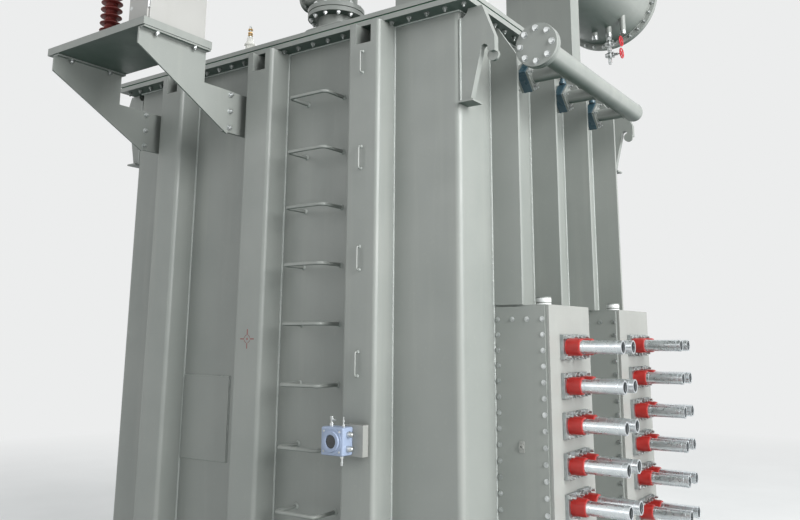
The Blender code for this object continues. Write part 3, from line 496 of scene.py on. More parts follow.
for side, wall in (("front", wall_front), ("back", wall_back)):
    for i in (1, 2, 3):
        low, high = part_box(f"{side}_stiffener_{i}")
        for x in (low.x, high.x):
            weld((x, wall, tank_floor), (x, wall, tank_top))
for side, wall in (("left", wall_left), ("right", wall_right)):
    for i in range(1, 5):
        low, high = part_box(f"{side}_fin_{i}")
        for y in (low.y, high.y):
            weld((wall, y, low.z), (wall, y, high.z))
for i in range(1, 5):
    low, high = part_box(f"lifting_lug_{i}")
    wall = wall_right if low.x > 0 else wall_left
    faces = (-lug_outer, -lug_inner) if low.y < 0 else (lug_inner, lug_outer)
    for y in faces:
        weld((wall, y, low.z + 0.006), (wall, y, high.z - 0.045))
for i in (1, 2):
    low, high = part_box(f"terminal_box_{i}")
    for y in (low.y, high.y):
        weld((wall_right, y, low.z), (wall_right, y, box_roof))
    weld((wall_right, low.y, box_roof), (wall_right, high.y, box_roof))
    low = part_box(f"platform_bracket_{i}")[0]
    weld((low.x, wall_front, low.z + 0.012), (low.x, wall_front, bracket_top))
top_seam, foot_seam = tank_top - 0.002, tank_floor + 0.003
for y in (wall_front, wall_back):
    weld((wall_left, y, top_seam), (wall_right, y, top_seam))
    weld((wall_left, y, foot_seam), (wall_right, y, foot_seam))
for x in (wall_left, wall_right):
    weld((x, wall_front, top_seam), (x, wall_back, top_seam))
    weld((x, wall_front, foot_seam), (x, wall_back, foot_seam))
add_piece("weld_beads", bead, weld_enamel_painted_highlight, clean=False, sharp=60)

# Thin seal welds round the wall pad, where the rungs meet the wall, and at the grips on the right rib.
seam = bmesh.new()
pad_left, pad_right, pad_foot, pad_head = -0.635, -0.265, 0.797, 1.249
pad_seam_y = wall_front - 0.001
corners = [(pad_left, pad_foot), (pad_right, pad_foot), (pad_right, pad_head), (pad_left, pad_head)]
for a, b in zip(corners, corners[1:] + corners[:1]):
    rod(seam, (a[0], pad_seam_y, a[1]), (b[0], pad_seam_y, b[1]), 0.004)
rung_radius = 0.0095
for i in range(1, 10):
    low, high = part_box(f"ladder_rung_{i}")
    for x in (low.x + rung_radius, high.x - rung_radius):
        turned(
            seam,
            [(0, 0.0155), (0.004, 0.014), (0.009, 0.0097), (0, 0.0097)],
            (x, wall_front, middle(low.z, high.z)),
            -Y,
            16,
        )
grip_weld = [(0, 0), (0, 0.0085), (0.003, 0.0075), (0.006, 0.0047), (0.006, 0)]
lowest_grip, grip_pitch, grip_length = 1.284, 0.5, 0.112
for i in range(4):
    for z in (lowest_grip + grip_pitch * i, lowest_grip + grip_length + grip_pitch * i):
        turned(seam, grip_weld, (rib_middles[2], rib_face, z), -Y, 12)
add_piece("seal_welds", seam, weld_enamel_painted_highlight, sharp=60)

# Bolts through the cover, the gasket and the rim: heads above, nuts and stud ends below.
rim_head = fastener("rim_bolt_head", 0.0135, 0.0095, 0.016, 0.0025)
rim_nut = fastener("rim_nut", 0.0125, 0.010, 0.015, 0.0025, 0.0065, 0.010)
heads, nuts = bmesh.new(), bmesh.new()
line_x, line_y = 1.297, 1.0665
bolt_pitch, first_from_middle = 0.1077, 0.0085
places = [(first_from_middle + bolt_pitch * i, side * line_y) for i in range(-12, 13) for side in (-1, 1)]
places += [(side * line_x, -line_y + 2 * line_y * i / 20) for i in range(1, 20) for side in (-1, 1)]
for i, (x, y) in enumerate(places):
    stamp(heads, rim_head, (x, y, cover_top), Z, i * 0.37)
    on_long_side = abs(y) > line_y - 0.001
    in_rib = on_long_side and any(0.033 < abs(x - rib) < 0.113 for rib in rib_middles)
    in_fin = not on_long_side and any(abs(y - fin) < 0.026 for fin in fin_middles)
    in_lug = not on_long_side and abs(abs(y) - middle(lug_inner, lug_outer)) < 0.04
    if not (in_rib or in_fin or in_lug):
        stamp(nuts, rim_nut, (x, y, rim_under), -Z, i * 0.61)
add_piece("rim_bolt_heads", heads, zinc_plate, clean=False)
add_piece("rim_nuts", nuts, dull_zinc, clean=False)

# The red aiming mark brushed on the middle rib: a dot in a broken ring, with four arms.
mark = bmesh.new()
mark_x, mark_y, mark_z = 0.003, rib_face - 0.0001, 1.455
mark_ring, mark_reach, brush_half = 0.021, 0.05, 0.0028
front, back = mark_y - 0.0006, mark_y + 0.0003
for a, b in ((-mark_reach, -mark_ring), (mark_ring, mark_reach)):
    block(mark, (mark_x + a, front, mark_z - brush_half), (mark_x + b, back, mark_z + brush_half))
    block(mark, (mark_x - brush_half, front, mark_z + a), (mark_x + brush_half, back, mark_z + b))
turned(mark, [(0, 0), (0, 0.0055), (0.0006, 0.005), (0.0006, 0)], (mark_x, mark_y, mark_z), -Y, 16)
for start in (15, 105, 195, 285):
    for step in range(4):
        a = math.radians(start + step * 15)
        b = math.radians(start + step * 15 + 12)
        rod(
            mark,
            (mark_x + mark_ring * math.cos(a), mark_y, mark_z + mark_ring * math.sin(a)),
            (mark_x + mark_ring * math.cos(b), mark_y, mark_z + mark_ring * math.sin(b)),
            0.0013,
            6,
        )
add_piece("red_mark", mark, mark_red)

# Terminal boxes

cover_screw = fastener("cover_screw", 0.0098, 0.0062, 0.0125, 0.0018)
screws = bmesh.new()
screw_rows, top_row, row_pitch = 17, 1.549, 0.073
for i in (1, 2):
    low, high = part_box(f"terminal_box_{i}")
    for y, out in ((low.y, -Y), (high.y, Y)):
        for row in range(screw_rows):
            z = top_row - row * row_pitch
            for x in (1.257, 1.495):
                stamp(screws, cover_screw, (x, y, z), out, row * 0.7)
            if row in (0, screw_rows - 1):
                for x in (1.336, 1.415):
                    stamp(screws, cover_screw, (x, y, z), out, x)
add_piece("side_cover_screws", screws, zinc_plate, clean=False)

# A small earthing tag welded to the first box's side, with a boss round its hole.
tag = bmesh.new()
tag_x, tag_y, tag_z = 1.374, -0.6963, 0.962
tag_boss = [(0, 0.0045), (0.012, 0.0045), (0.012, 0.012), (0, 0.012)]
turned(tag, soften(tag_boss, 0.001), (tag_x, tag_y, tag_z), -Y, 20)
block(tag, (tag_x - 0.014, tag_y - 0.0042, tag_z - 0.026), (tag_x + 0.014, tag_y, tag_z + 0.026), 0.001)
add_piece("earthing_tag", tag, panel_enamel)

# White plugs on the boxes' roofs: a domed cap with a ribbed skirt.
plug = bmesh.new()
plug_profile = [(0, 0), (0, 0.0368), (0.008, 0.0368), (0.010, 0.0348), (0.014, 0.0348), (0.016, 0.0366)]
plug_profile += [(0.032, 0.0366), (0.037, 0.0345), (0.0398, 0.028), (0.0404, 0)]
for i in (1, 2):
    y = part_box(f"terminal_box_{i}")[0].y + 0.116
    turned(plug, plug_profile, (1.452, y, box_roof), Z, 48)
add_piece("roof_plugs", plug, plug_white)

# Panels: a pale plate, and on it twelve aluminium tubes through red insulators in bolted flanges.
plate_thickness, flange_thickness, nut_offset = 0.012, 0.018, 0.047
plate = bmesh.new()
block(plate, (-0.06, -0.06, 0), (0.06, 0.06, flange_thickness), 0.002)
flange_plate = keep_shape(plate, "rod_flange")
sleeve = bmesh.new()
profile = [(0.016, 0), (0.016, 0.044), (0.022, 0.044), (0.022, 0.042), (0.078, 0.0412)]
profile += [(0.087, 0.0395), (0.087, 0.030)]
turned(sleeve, soften(profile, 0.0015), steps=40)
sleeve_shape = keep_shape(sleeve, "rod_sleeve")
tube = bmesh.new()
profile = [(0.084, 0.0255), (0.084, 0.0325), (0.102, 0.0325), (0.102, 0.0300), (0.105, 0.0300)]
profile += [(0.105, 0.0318), (0.266, 0.0318), (0.266, 0.0298), (0.271, 0.0298), (0.271, 0.0325)]
profile += [(0.292, 0.0325), (0.292, 0.0255), (0.284, 0.0245), (0.284, 0.0240)]
turned(tube, soften(profile, 0.0008), steps=40)
tube_shape = keep_shape(tube, "rod_tube")
bore = bmesh.new()
turned(bore, [(0.290, 0.0247), (0.0885, 0.0247), (0.0885, 0)], steps=32)
bore_shape = keep_shape(bore, "rod_bore")
flange_nut = fastener("rod_flange_nut", 0.0135, 0.012, 0.016, 0.003, 0.007, 0.018)
rod_rows = [1.417 - 0.182 * i for i in range(6)]
for i, columns in ((1, (-0.5155, -0.3755)), (2, (0.4285, 0.5685))):
    low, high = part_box(f"terminal_panel_{i}")
    panel_face = low.x + plate_thickness
    bm = bmesh.new()
    block(bm, (low.x, low.y, low.z), (panel_face, high.y, high.z), 0.0012)
    add_piece(f"terminal_plate_{i}", bm, panel_enamel, (f"terminal_panel_{i}",))
    plates, sleeves, tubes, bores, studs = (bmesh.new() for _ in range(5))
    for y in columns:
        for row, z in enumerate(rod_rows):
            spot = (panel_face, y, z)
            stamp(plates, flange_plate, spot, X)
            stamp(sleeves, sleeve_shape, spot, X)
            stamp(tubes, tube_shape, spot, X)
            stamp(bores, bore_shape, spot, X)
            for dy in (-nut_offset, nut_offset):
                for dz in (-nut_offset, nut_offset):
                    seat = (panel_face + flange_thickness, y + dy, z + dz)
                    stamp(studs, flange_nut, seat, X, row + dy * 20)
    add_piece(f"rod_flanges_{i}", plates, flange_metal, clean=False)
    add_piece(f"rod_insulators_{i}", sleeves, insulator_red, clean=False)
    add_piece(f"rod_tubes_{i}", tubes, tube_metal, clean=False)
    add_piece(f"rod_bores_{i}", bores, bore_metal, clean=False)
    add_piece(f"rod_flange_nuts_{i}", studs, zinc_plate, clean=False)

# Cooling header

header_x, header_z = 1.587, 2.843
pipe_start, pipe_end = -0.8515, 0.5185
pipe_length, pipe_radius, cap_depth = 1.37, 0.057, 0.04
flange_radius, flange_width = 0.11, 0.02
bm = bmesh.new()
profile = [(0, 0), (0, flange_radius), (flange_width, flange_radius), (flange_width, pipe_radius)]
profile += [(pipe_length, pipe_radius)]
for a in (math.radians(degrees) for degrees in (15, 30, 45, 60, 75)):
    profile.append((pipe_length + cap_depth * math.sin(a), pipe_radius * math.cos(a)))
profile += [(pipe_length + cap_depth, 0)]
turned(bm, profile, (header_x, pipe_start, header_z), Y, 64)
branch_y = (-0.4605, 0.0005, 0.4615)
branch_root = 1.366 - header_x
diamond = bmesh.new()
block(diamond, (-0.06, -0.06, 0), (0.06, 0.06, 0.0117), 0.0015)
diamond_shape = keep_shape(diamond, "branch_flange")
for y in branch_y:
    turned(bm, stepped(branch_root, (0, 0.038)), (header_x, y, header_z), X, 40)
    stamp(bm, diamond_shape, (1.3653, y, header_z), X, math.pi / 4)
    # The fillet welds where the stub enters the header and its own flange.
    ring(bm, (1.541, y, header_z), X, 0.041, 0.0045, 32, 8)
    ring(bm, (1.379, y, header_z), X, 0.040, 0.004, 32, 8)
ring(bm, (header_x, pipe_start + 0.0225, header_z), Y, 0.0595, 0.0045, 48, 8)
ring(bm, (header_x, pipe_end - 0.004, header_z), Y, 0.0555, 0.003, 48, 8)
add_piece("header_welded", bm, tank_enamel, ("header_pipe",), sharp=32)

bm = bmesh.new()
blank_face = -0.8735
blank = soften(stepped(0, (0.0217, flange_radius)), 0.003)
turned(bm, blank, (header_x, blank_face, header_z), Y, 64)
add_piece("header_blank", bm, tank_enamel, ("header_blind_flange",))
bm = bmesh.new()
gasket = [(0, 0.094), (0, 0.1075), (0.0018, 0.1075), (0.0018, 0.094)]
turned(bm, gasket, (header_x, pipe_start - 0.0012, header_z), Y, 64)
add_piece("header_gasket", bm, gasket_green_painted_light)

blank_head = fastener("blank_bolt_head", 0.0148, 0.011, 0.0165, 0.002)
blank_nut = fastener("blank_nut", 0.0148, 0.0125, 0.0165, 0.002, 0.008, 0.010)
valve_stud = fastener("valve_stud_nut", 0.0118, 0.010, 0.0135, 0.002, 0.006, 0.014)
bolts = bmesh.new()
blank_circle, stud_offset = 0.084, 0.067
for i in range(8):
    a = math.radians(45 * i)
    x, z = header_x + blank_circle * math.cos(a), header_z + blank_circle * math.sin(a)
    stamp(bolts, blank_head, (x, blank_face, z), -Y, i * 0.4)
    stamp(bolts, blank_nut, (x, pipe_start + flange_width, z), Y, i * 0.9)
for middle_y in branch_y:
    for dy, dz in ((stud_offset, 0), (-stud_offset, 0), (0, stud_offset), (0, -stud_offset)):
        y, z = middle_y + dy, header_z + dz
        rod(bolts, (1.30, y, z), (1.38, y, z), 0.006, 10)
        stamp(bolts, valve_stud, (1.303, y, z), -X, dy * 9)
        stamp(bolts, valve_stud, (1.377, y, z), X, dz * 9)
add_piece("header_bolts", bolts, zinc_plate, clean=False)

# Valves on edge between their flanges: a square body, its stem boss and a flat key on top.
stem = soften(stepped(0, (0.016, 0.021), (0.034, 0.014), (0.0495, 0.011)), 0.0012)
for i, y in enumerate(branch_y):
    bm = bmesh.new()
    body = bmesh.new()
    block(body, (-0.062, -0.062, 0), (0.062, 0.062, 0.05), 0.003, 3)
    for z in (0.009, 0.041):
        # The seams where the cast body meets its two seat rings.
        block(body, (-0.0624, -0.0624, z - 0.0012), (0.0624, 0.0624, z + 0.0012))
    stamp(bm, keep_shape(body, "valve_body"), (1.315, y, header_z), X, math.pi / 4)
    turned(bm, stem, (1.34, y, header_z + 0.0875), Z, 24)
    block(bm, (1.3345, y - 0.028, header_z + 0.122), (1.3455, y + 0.028, header_z + 0.131), 0.003)
    add_piece(f"butterfly_valve_{i + 1}", bm, valve_enamel, (f"header_valve_{i + 1}",))

# Platform and what stands on it

deck_bolt = fastener("deck_bolt", 0.0118, 0.0095, 0.0145, 0.0025, 0.0062, 0.008)
cleat_bolt = fastener("cleat_bolt", 0.0132, 0.0105, 0.016, 0.0025, 0.007, 0.009)
bolts = bmesh.new()
deck_under, deck_top, cleat_y = 3.0, 3.0163, -1.2065
for bracket_face in (-0.903, -0.154):
    for y in (-1.735, -1.491):
        stamp(bolts, deck_bolt, (bracket_face + 0.024, y, deck_under), -Z, y)
        stamp(bolts, deck_bolt, (bracket_face + 0.024, y, deck_top), Z, y)
    for z in (2.807, 2.71, 2.616):
        stamp(bolts, cleat_bolt, (bracket_face, cleat_y, z), X, z)
        stamp(bolts, cleat_bolt, (bracket_face - 0.022, cleat_y, z), -X, z)
add_piece("platform_bolts", bolts, zinc_plate, clean=False)

arrester_at = (-0.718, -1.6195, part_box("surge_arrester")[0].z)
core_radius, shed_count, first_shed, shed_pitch = 0.0325, 11, 0.071, 0.042
bm = bmesh.new()
profile = [(0.05, 0), (0.05, 0.040), (0.056, 0.036), (0.068, core_radius)]
for i in range(shed_count):
    z = first_shed + i * shed_pitch
    profile += [(z, core_radius), (z + 0.001, 0.045), (z + 0.002, 0.0565), (z + 0.0045, 0.0588)]
    profile += [(z + 0.008, 0.0580), (z + 0.014, 0.046), (z + 0.022, 0.0345), (z + 0.030, core_radius)]
profile += [(0.5326, core_radius), (0.5326, 0)]
turned(bm, profile, arrester_at, Z, 48)
add_piece("arrester_sheds", bm, shed_red, ("surge_arrester",), sharp=50)
bm = bmesh.new()
turned(bm, soften(stepped(0, (0.012, 0.05), (0.0505, 0.038)), 0.002), arrester_at, Z, 40)
turned(bm, soften(stepped(0.532, (0.556, 0.022), (0.5929, 0.010)), 0.0015), arrester_at, Z, 32)
add_piece("arrester_fittings", bm, zinc_plate)
bm = bmesh.new()
cap = [(0.557, 0.0102), (0.557, 0.016), (0.577, 0.0135), (0.577, 0.0102)]
turned(bm, soften(cap, 0.001), arrester_at, Z, 24)
add_piece("arrester_cap", bm, plug_white)

low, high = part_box("control_cabinet")
bm = bmesh.new()
door_face, door_back, door_gap = low.y + 0.0015, low.y + 0.0135, 0.01
block(bm, (low.x, low.y + 0.012, low.z), high, 0.004, 3)
door_low = (low.x + door_gap, door_face, low.z + door_gap)
block(bm, door_low, (high.x - door_gap, door_back, high.z - door_gap), 0.003, 3)
block(bm, (low.x, low.y + 0.03, high.z - 0.006), high, 0.002)
add_piece("cabinet_case", bm, cabinet_coat, ("control_cabinet",))
bm = bmesh.new()
for z in (low.z + 0.12, high.z - 0.12):
    turned(bm, soften(stepped(0, (0.0012, 0.011)), 0.0004), (low.x + 0.03, door_face, z), -Y, 24)
    block(bm, (high.x - 0.0095, low.y + 0.001, z - 0.022), (high.x - 0.001, low.y + 0.012, z + 0.022), 0.002)
add_piece("cabinet_locks", bm, zinc_plate)

# Gas sampler

sampler_x, sampler_z = 0.697, 0.998
sampler_front, sampler_foot, sampler_head, sampler_right = -1.2638, 0.9355, 1.0605, 0.762
cock_y = -1.2263
bm = bmesh.new()
block(bm, (0.632, sampler_front, sampler_foot), (sampler_right, -1.1888, sampler_head), 0.008, 3)
window_ring = [(0, 0), (0, 0.058), (0.004, 0.058), (0.004, 0.047), (0.0115, 0.045)]
window_ring += [(0.0115, 0.031), (0.002, 0.0285), (0.002, 0)]
window_at = (sampler_x, sampler_front + 0.0003, sampler_z)
turned(bm, soften(window_ring, 0.0012), window_at, -Y, 48)
add_piece("sampler_body", bm, sampler_enamel, ("gas_sampler",))
bm = bmesh.new()
glass = [(0.0022, 0), (0.0022, 0.029), (0.0058, 0.029), (0.0072, 0.021), (0.0078, 0)]
turned(bm, glass, window_at, -Y, 40)
add_piece("sampler_glass", bm, sight_glass_painted_shade)
screw = fastener("sampler_screw", 0.0055, 0.003)
bm = bmesh.new()
for dx in (-0.046, 0.046):
    for dz in (-0.044, 0.044):
        stamp(bm, screw, (sampler_x + dx, sampler_front, sampler_z + dz), -Y, dx)
side_nut = [(0, 0), (0, 0.0138), (0.010, 0.0138), (0.012, 0.0125), (0.022, 0.0118), (0.027, 0.009)]
side_nut += [(0.0298, 0.004), (0.03, 0)]
for rise in (-0.03125, 0.03125):
    turned(bm, side_nut, (sampler_right, cock_y, sampler_z + rise), X, 24)
add_piece("sampler_nuts_and_screws", bm, zinc_plate, sharp=40)
bm = bmesh.new()
top_cock_x, lever_z = 0.6645, 1.089
top_cock = soften(stepped(0, (0.014, 0.0095), (0.030, 0.006), (0.0448, 0.0085)), 0.001)
turned(bm, top_cock, (top_cock_x, cock_y, sampler_head), Z, 20)
rod(bm, (top_cock_x, cock_y, lever_z), (top_cock_x + 0.024, cock_y, lever_z), 0.004, 10)
bleed = soften(stepped(0, (0.010, 0.007), (0.022, 0.0035), (0.028, 0.0055), (0.0445, 0.003)), 0.0007)
turned(bm, bleed, (0.735, cock_y, sampler_head), Z, 16)
drain = [(0, 0), (0, 0.009), (0.012, 0.009), (0.012, 0.005), (0.030, 0.005), (0.030, 0.0075)]
drain += [(0.0448, 0.006), (0.0448, 0)]
turned(bm, soften(drain, 0.0008), (0.7295, cock_y, sampler_foot), -Z, 20)
add_piece("sampler_cocks", bm, zinc_plate)

# Conservator

drum_x, drum_z = 1.057, 4.13
drum_start, drum_end = -1.2365, 1.6035
drum_radius, drum_rim, rim_width = 0.37, 0.41, 0.02
nipple_y, nipple_pitch = 1.3135, 0.11
bm = bmesh.new()
profile = [(0, 0), (0, 0.355), (0.0035, 0.3655), (0.013, drum_radius), (2.82, drum_radius)]
profile += [(2.82, drum_rim), (2.8395, drum_rim), (2.8395, 0)]
turned(bm, profile, (drum_x, drum_start, drum_z), Y, 96)
for y in (drum_start + 0.03, drum_start + 0.97, drum_start + 1.92):
    ring(bm, (drum_x, y, drum_z), Y, 0.3695, 0.0035, 96, 8)
ring(bm, (drum_x, drum_end - 0.022, drum_z), Y, 0.372, 0.006, 96, 8)
for i in range(3):
    turned(bm, stepped(-0.43, (-0.1, 0.0218)), (drum_x + nipple_pitch * i, nipple_y, drum_z), Z, 28)
add_piece("drum_welded", bm, tank_enamel, ("conservator_drum",), sharp=32)
bm = bmesh.new()
dome_depth = 0.06
profile = [(0, 0), (0, drum_rim), (rim_width, drum_rim), (rim_width, drum_radius)]
for a in (math.radians(degrees) for degrees in (8, 16, 26, 38, 50, 62, 74)):
    profile.append((rim_width + dome_depth * math.sin(a), drum_radius * math.cos(a)))
profile += [(rim_width + dome_depth, 0)]
turned(bm, profile, (drum_x, drum_end, drum_z), Y, 96)
add_piece("drum_end_cover", bm, tank_enamel, ("conservator_end_cover",), sharp=32)

drum_bolt = fastener("drum_bolt", 0.0118, 0.0095, 0.014, 0.0025, 0.006, 0.008)
bolts = bmesh.new()
drum_circle = 0.3915
for i in range(32):
    a = math.radians(11.25 * i + 5.6)
    x, z = drum_x + drum_circle * math.cos(a), drum_z + drum_circle * math.sin(a)
    stamp(bolts, drum_bolt, (x, drum_end + rim_width, z), Y, i * 0.5)
    stamp(bolts, drum_bolt, (x, drum_end - rim_width, z), -Y, i * 0.8)
for i in (1, 2):
    low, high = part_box(f"conservator_pedestal_{i}")
    for x in (low.x + 0.016, high.x - 0.016):
        for y in (low.y + 0.03, high.y - 0.03):
            stamp(bolts, drum_bolt, (x, y, low.z + 0.016), Z, x)
add_piece("conservator_bolts", bolts, zinc_plate, clean=False)

# Pipe nipples under the drum: galvanised, threaded at the lower end.
bm = bmesh.new()
nipple = soften([(0, 0), (0, 0.0222), (0.005, 0.0225), (0.028, 0.0225), (0.028, 0.0219)], 0.0006)
for i in range(3):
    x = drum_x + nipple_pitch * i
    turned(bm, nipple, (x, nipple_y, 3.7005), Z, 28)
    for k in range(6):
        ring(bm, (x, nipple_y, 3.703 + 0.004 * k), Z, 0.0216, 0.0016, 28, 6)
add_piece("nipples", bm, zinc_plate, sharp=50)

# Drain valves: two small gate valves in line on the middle nipple, each with a red handwheel.
bm = bmesh.new()
wheels = bmesh.new()
valve_x, valve_y = 1.167, nipple_y
profile = [(3.483, 0), (3.483, 0.012), (3.494, 0.012), (3.494, 0.016), (3.52, 0.016), (3.53, 0.013)]
profile += [(3.585, 0.013), (3.59, 0.0185), (3.61, 0.0185), (3.615, 0.013), (3.67, 0.013)]
profile += [(3.674, 0.0195), (3.6995, 0.0195), (3.6995, 0)]
turned(bm, soften(profile, 0.001), (valve_x, valve_y, 0), Z, 8)
valve_profile = [(-0.032, 0), (-0.032, 0.016), (-0.02, 0.019), (-0.008, 0.0256), (0.008, 0.0256)]
valve_profile += [(0.02, 0.019), (0.024, 0.019), (0.024, 0.0235), (0.032, 0.0235), (0.032, 0.012)]
valve_profile += [(0.05, 0.010), (0.062, 0.010), (0.062, 0.005), (0.0985, 0.005), (0.0985, 0)]
hub = soften([(0.085, 0), (0.085, 0.011), (0.0975, 0.009), (0.0975, 0)], 0.001)
for level in (3.6497, 3.5547):
    turned(bm, soften(valve_profile, 0.001), (valve_x, valve_y, level), X, 24)
    ring(wheels, (valve_x + 0.092, valve_y, level), X, 0.0365, 0.0052, 36, 10)
    turned(wheels, hub, (valve_x, valve_y, level), X, 20)
    for k in range(4):
        a = math.radians(45 + 90 * k)
        rod(
            wheels,
            (valve_x + 0.091, valve_y + 0.006 * math.cos(a), level + 0.006 * math.sin(a)),
            (valve_x + 0.092, valve_y + 0.035 * math.cos(a), level + 0.035 * math.sin(a)),
            0.004,
            8,
        )
add_piece("drain_valve_bodies", bm, zinc_plate, ("drain_valves",))
add_piece("handwheels", wheels, wheel_red, sharp=50)

# Oil gauge on the drum's near end: a dished dial in its case, with plain ticks and a pointer.
gauge_z, tick_y, tick_tip = 3.86, drum_start - 0.1434, 0.088
gauge_at = (drum_x, drum_start, gauge_z)
bm = bmesh.new()
profile = [(-0.0003, 0), (-0.0003, 0.06), (-0.012, 0.06), (-0.012, 0.045), (-0.1, 0.045), (-0.1, 0.104)]
profile += [(-0.108, 0.11), (-0.15, 0.11), (-0.15, 0.098), (-0.142, 0.096), (-0.142, 0)]
turned(bm, soften(profile, 0.002), gauge_at, Y, 56)
add_piece("gauge_case", bm, valve_enamel, ("oil_gauge",))
bm = bmesh.new()
turned(bm, [(-0.1422, 0), (-0.1422, 0.0945), (-0.1428, 0.0945), (-0.1432, 0)], gauge_at, Y, 48)
add_piece("gauge_dial", bm, dial_card)
bm = bmesh.new()
for k in range(11):
    a = math.radians(-50 + 28 * k)
    inner = 0.07 if k % 5 == 0 else 0.078
    rod(
        bm,
        (drum_x + inner * math.cos(a), tick_y, gauge_z + inner * math.sin(a)),
        (drum_x + tick_tip * math.cos(a), tick_y, gauge_z + tick_tip * math.sin(a)),
        0.0012,
        6,
    )
pointer_y = drum_start - 0.1438
rod(bm, (drum_x - 0.02, pointer_y, 3.852), (drum_x + 0.062, pointer_y, 3.888), 0.0016, 6)
turned(bm, [(-0.143, 0), (-0.143, 0.008), (-0.146, 0.007), (-0.146, 0)], gauge_at, Y, 20)
add_piece("gauge_ticks", bm, tick_black)

# Turret and bushing on the cover

turret_x, turret_y, turret_foot = 0.237, -0.7665, cover_top
elbow_z, elbow_back = 3.4973, 0.224
bm = bmesh.new()
profile = [(0, 0), (0, 0.105), (0.2, 0.105), (0.2, 0.168), (0.2265, 0.168), (0.2265, 0.161)]
profile += [(0.2315, 0.161), (0.2315, 0.168), (0.26, 0.168), (0.26, 0.125), (0.47, 0.125)]
profile += [(0.488, 0.119), (0.4995, 0.1), (0.4995, 0)]
turned(bm, soften(profile, 0.003), (turret_x, turret_y, turret_foot), Z, 64)
ring(bm, (turret_x, turret_y, turret_foot + 0.002), Z, 0.106, 0.006, 64, 8)
elbow = soften(stepped(-0.24, (-elbow_back, 0.07), (0, 0.045)), 0.002)
turned(bm, elbow, (turret_x, turret_y, elbow_z), X, 40)
ring(bm, (turret_x - 0.124, turret_y, elbow_z), X, 0.046, 0.005, 40, 8)
add_piece("turret_welded", bm, tank_enamel, ("cover_turret",), sharp=32)
turret_bolt = fastener("turret_bolt", 0.0125, 0.010, 0.015, 0.0025, 0.0065, 0.008)
bolts = bmesh.new()
turret_circle, elbow_circle = 0.147, 0.057
for i in range(12):
    a = math.radians(30 * i + 15)
    spot = (turret_x + turret_circle * math.cos(a), turret_y + turret_circle * math.sin(a))
    stamp(bolts, turret_bolt, (*spot, turret_foot + 0.26), Z, i)
    stamp(bolts, turret_bolt, (*spot, turret_foot + 0.2), -Z, i)
for i in range(6):
    a = math.radians(60 * i)
    y, z = turret_y + elbow_circle * math.cos(a), elbow_z + elbow_circle * math.sin(a)
    stamp(bolts, cover_screw, (turret_x - elbow_back, y, z), X, i)
add_piece("turret_bolts", bolts, zinc_plate, clean=False)

bushing_x, bushing_y, bushing_foot = -0.393, -0.8565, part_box("cover_bushing")[0].z
bushing_at = (bushing_x, bushing_y, bushing_foot)
bm = bmesh.new()
profile = [(0.034, 0), (0.034, 0.040), (0.040, 0.041), (0.048, 0.036), (0.082, 0.034), (0.088, 0.037)]
profile += [(0.092, 0.0425), (0.100, 0.0425), (0.106, 0.038), (0.118, 0.030), (0.138, 0.0275)]
profile += [(0.145, 0.030), (0.148, 0.0355), (0.156, 0.0355), (0.162, 0.031), (0.174, 0.0225)]
profile += [(0.196, 0.020), (0.202, 0.018), (0.202, 0)]
turned(bm, profile, bushing_at, Z, 48)
add_piece("bushing_porcelain", bm, glaze_white, ("cover_bushing",), sharp=50)
bm = bmesh.new()
foot_height, foot_circle = 0.012, 0.052
turned(bm, soften(stepped(0, (foot_height, 0.058), (0.036, 0.046)), 0.002), bushing_at, Z, 40)
turned(bm, soften(stepped(0.201, (0.208, 0.0165), (0.2797, 0.008)), 0.001), bushing_at, Z, 24)
for k in range(4):
    a = math.radians(45 + 90 * k)
    x, y = bushing_x + foot_circle * math.cos(a), bushing_y + foot_circle * math.sin(a)
    stamp(bm, screw, (x, y, bushing_foot + foot_height), Z, k)
add_piece("bushing_fittings", bm, zinc_plate)
brass_nut = fastener("brass_nut", 0.0145, 0.009, 0.0155, 0.002)
bm = bmesh.new()
for z in (0.214, 0.228, 0.25):
    stamp(bm, brass_nut, (bushing_x, bushing_y, bushing_foot + z), Z, z * 30)
add_piece("bushing_nuts", bm, cock_brass, clean=False)

# Floor, light and camera

backdrop = "#eceded"


def seen_rays(tree):
    """1 for the rays that show a surface directly, in a mirror or through glass, and 0 for the others."""
    rays = add_node(tree, "ShaderNodeLightPath").outputs
    total = rays["Is Camera Ray"]
    for name in ("Is Glossy Ray", "Is Transmission Ray"):
        total = add_node(
            tree, "ShaderNodeMath", {"operation": "MAXIMUM"}, {0: total, 1: rays[name]}
        ).outputs[0]
    return total


def floor_paint(code):
    """Pale matt floor paint, which fades into the backdrop some metres from the transformer."""
    fade_start, fade_end = 4.0, 9.0
    material, tree, shader, place = start_material("pale_floor_paint", 0.65)
    clouds = spread(tree, noise(tree, place, 900, 3), 0, 1)
    tree.links.new(blend_colours(tree, clouds, linear(code), linear("#d6d8d8")), shader.inputs["Base Color"])
    tree.links.new(bump(tree, noise(tree, place, 40, 2), 0.3, 0.3), shader.inputs["Normal"])
    reach = add_node(tree, "ShaderNodeVectorMath", {"operation": "LENGTH"}, {0: place}).outputs["Value"]
    faded = add_node(
        tree,
        "ShaderNodeMath",
        {"operation": "MULTIPLY"},
        {0: spread(tree, reach, 0, 1, fade_start, fade_end), 1: seen_rays(tree)},
    ).outputs[0]
    glow = add_node(tree, "ShaderNodeEmission", inputs={"Color": linear(backdrop), "Strength": 1.0})
    mixed = add_node(tree, "ShaderNodeMixShader", inputs={0: faded, 1: shader.outputs[0], 2: glow.outputs[0]})
    tree.links.new(mixed.outputs[0], tree.nodes["Material Output"].inputs["Surface"])
    return material


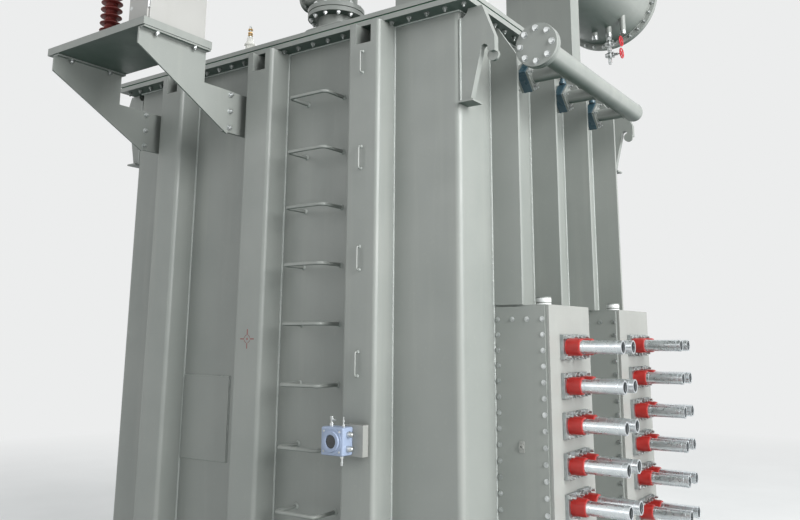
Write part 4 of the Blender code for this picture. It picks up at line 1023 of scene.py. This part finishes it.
bm = bmesh.new()
bmesh.ops.create_grid(bm, x_segments=1, y_segments=1, size=60)
mesh = bpy.data.meshes.new("floor")
bm.to_mesh(mesh)
bm.free()
mesh.materials.append(floor_paint("#dcdede"))
floor = bpy.data.objects.new("floor", mesh)
bpy.context.scene.collection.objects.link(floor)
floor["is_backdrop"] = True

world = bpy.data.worlds.new("hall")
bpy.context.scene.world = world
world.use_nodes = True
tree = world.node_tree
tree.nodes.clear()
rays = seen_rays(tree)
fill = add_node(tree, "ShaderNodeBackground", inputs={"Color": linear("#f2f4f5"), "Strength": 0.42})
seen = add_node(tree, "ShaderNodeBackground", inputs={"Color": linear(backdrop), "Strength": 1.0})
mixed = add_node(tree, "ShaderNodeMixShader", inputs={0: rays, 1: fill.outputs[0], 2: seen.outputs[0]})
add_node(tree, "ShaderNodeOutputWorld", inputs={"Surface": mixed.outputs[0]})


def soft_light(name, place, target, width, height, power):
    """A large white lamp that faces a point."""
    data = bpy.data.lights.new(name, "AREA")
    data.shape = "RECTANGLE"
    data.size, data.size_y = width, height
    data.energy = power
    lamp = bpy.data.objects.new(name, data)
    lamp.location = place
    lamp.rotation_euler = (Vector(target) - Vector(place)).to_track_quat("-Z", "Y").to_euler()
    bpy.context.scene.collection.objects.link(lamp)


soft_light("window_right", (10.2, -2.0, 5.2), (0, 0, 2.2), 8, 6, 1560)
soft_light("window_front", (-4.5, -10.5, 5.0), (0, 0, 1.5), 8, 5, 185)
soft_light("skylight", (1.0, 1.0, 11.0), (0, 0, 1.5), 9, 9, 380)
soft_light("window_back", (-7.0, 8.0, 6.0), (0, 0, 1.5), 8, 5, 380)

# The camera as solved from the tank's straight edges: lengths in pixels of the picture, angles in degrees.
picture_width, picture_height, focal_length = 800, 520, 778.276
sight_x, sight_y = 427.236, 182.395
tilted_up, turned_left = 11.233, 33.607
camera_data = bpy.data.cameras.new("photo_camera")
camera_data.sensor_width = 36
camera_data.lens = 36 * focal_length / picture_width
camera_data.shift_x = (picture_width / 2 - sight_x) / picture_width
camera_data.shift_y = (sight_y - picture_height / 2) / picture_width
camera = bpy.data.objects.new("photo_camera", camera_data)
camera.location = (3.110, -4.1075, 1.465)
camera.rotation_euler = (math.radians(90 + tilted_up), 0, math.radians(turned_left))
bpy.context.scene.collection.objects.link(camera)
bpy.context.scene.camera = camera

bpy.context.scene.view_settings.view_transform = "Standard"

low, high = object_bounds()
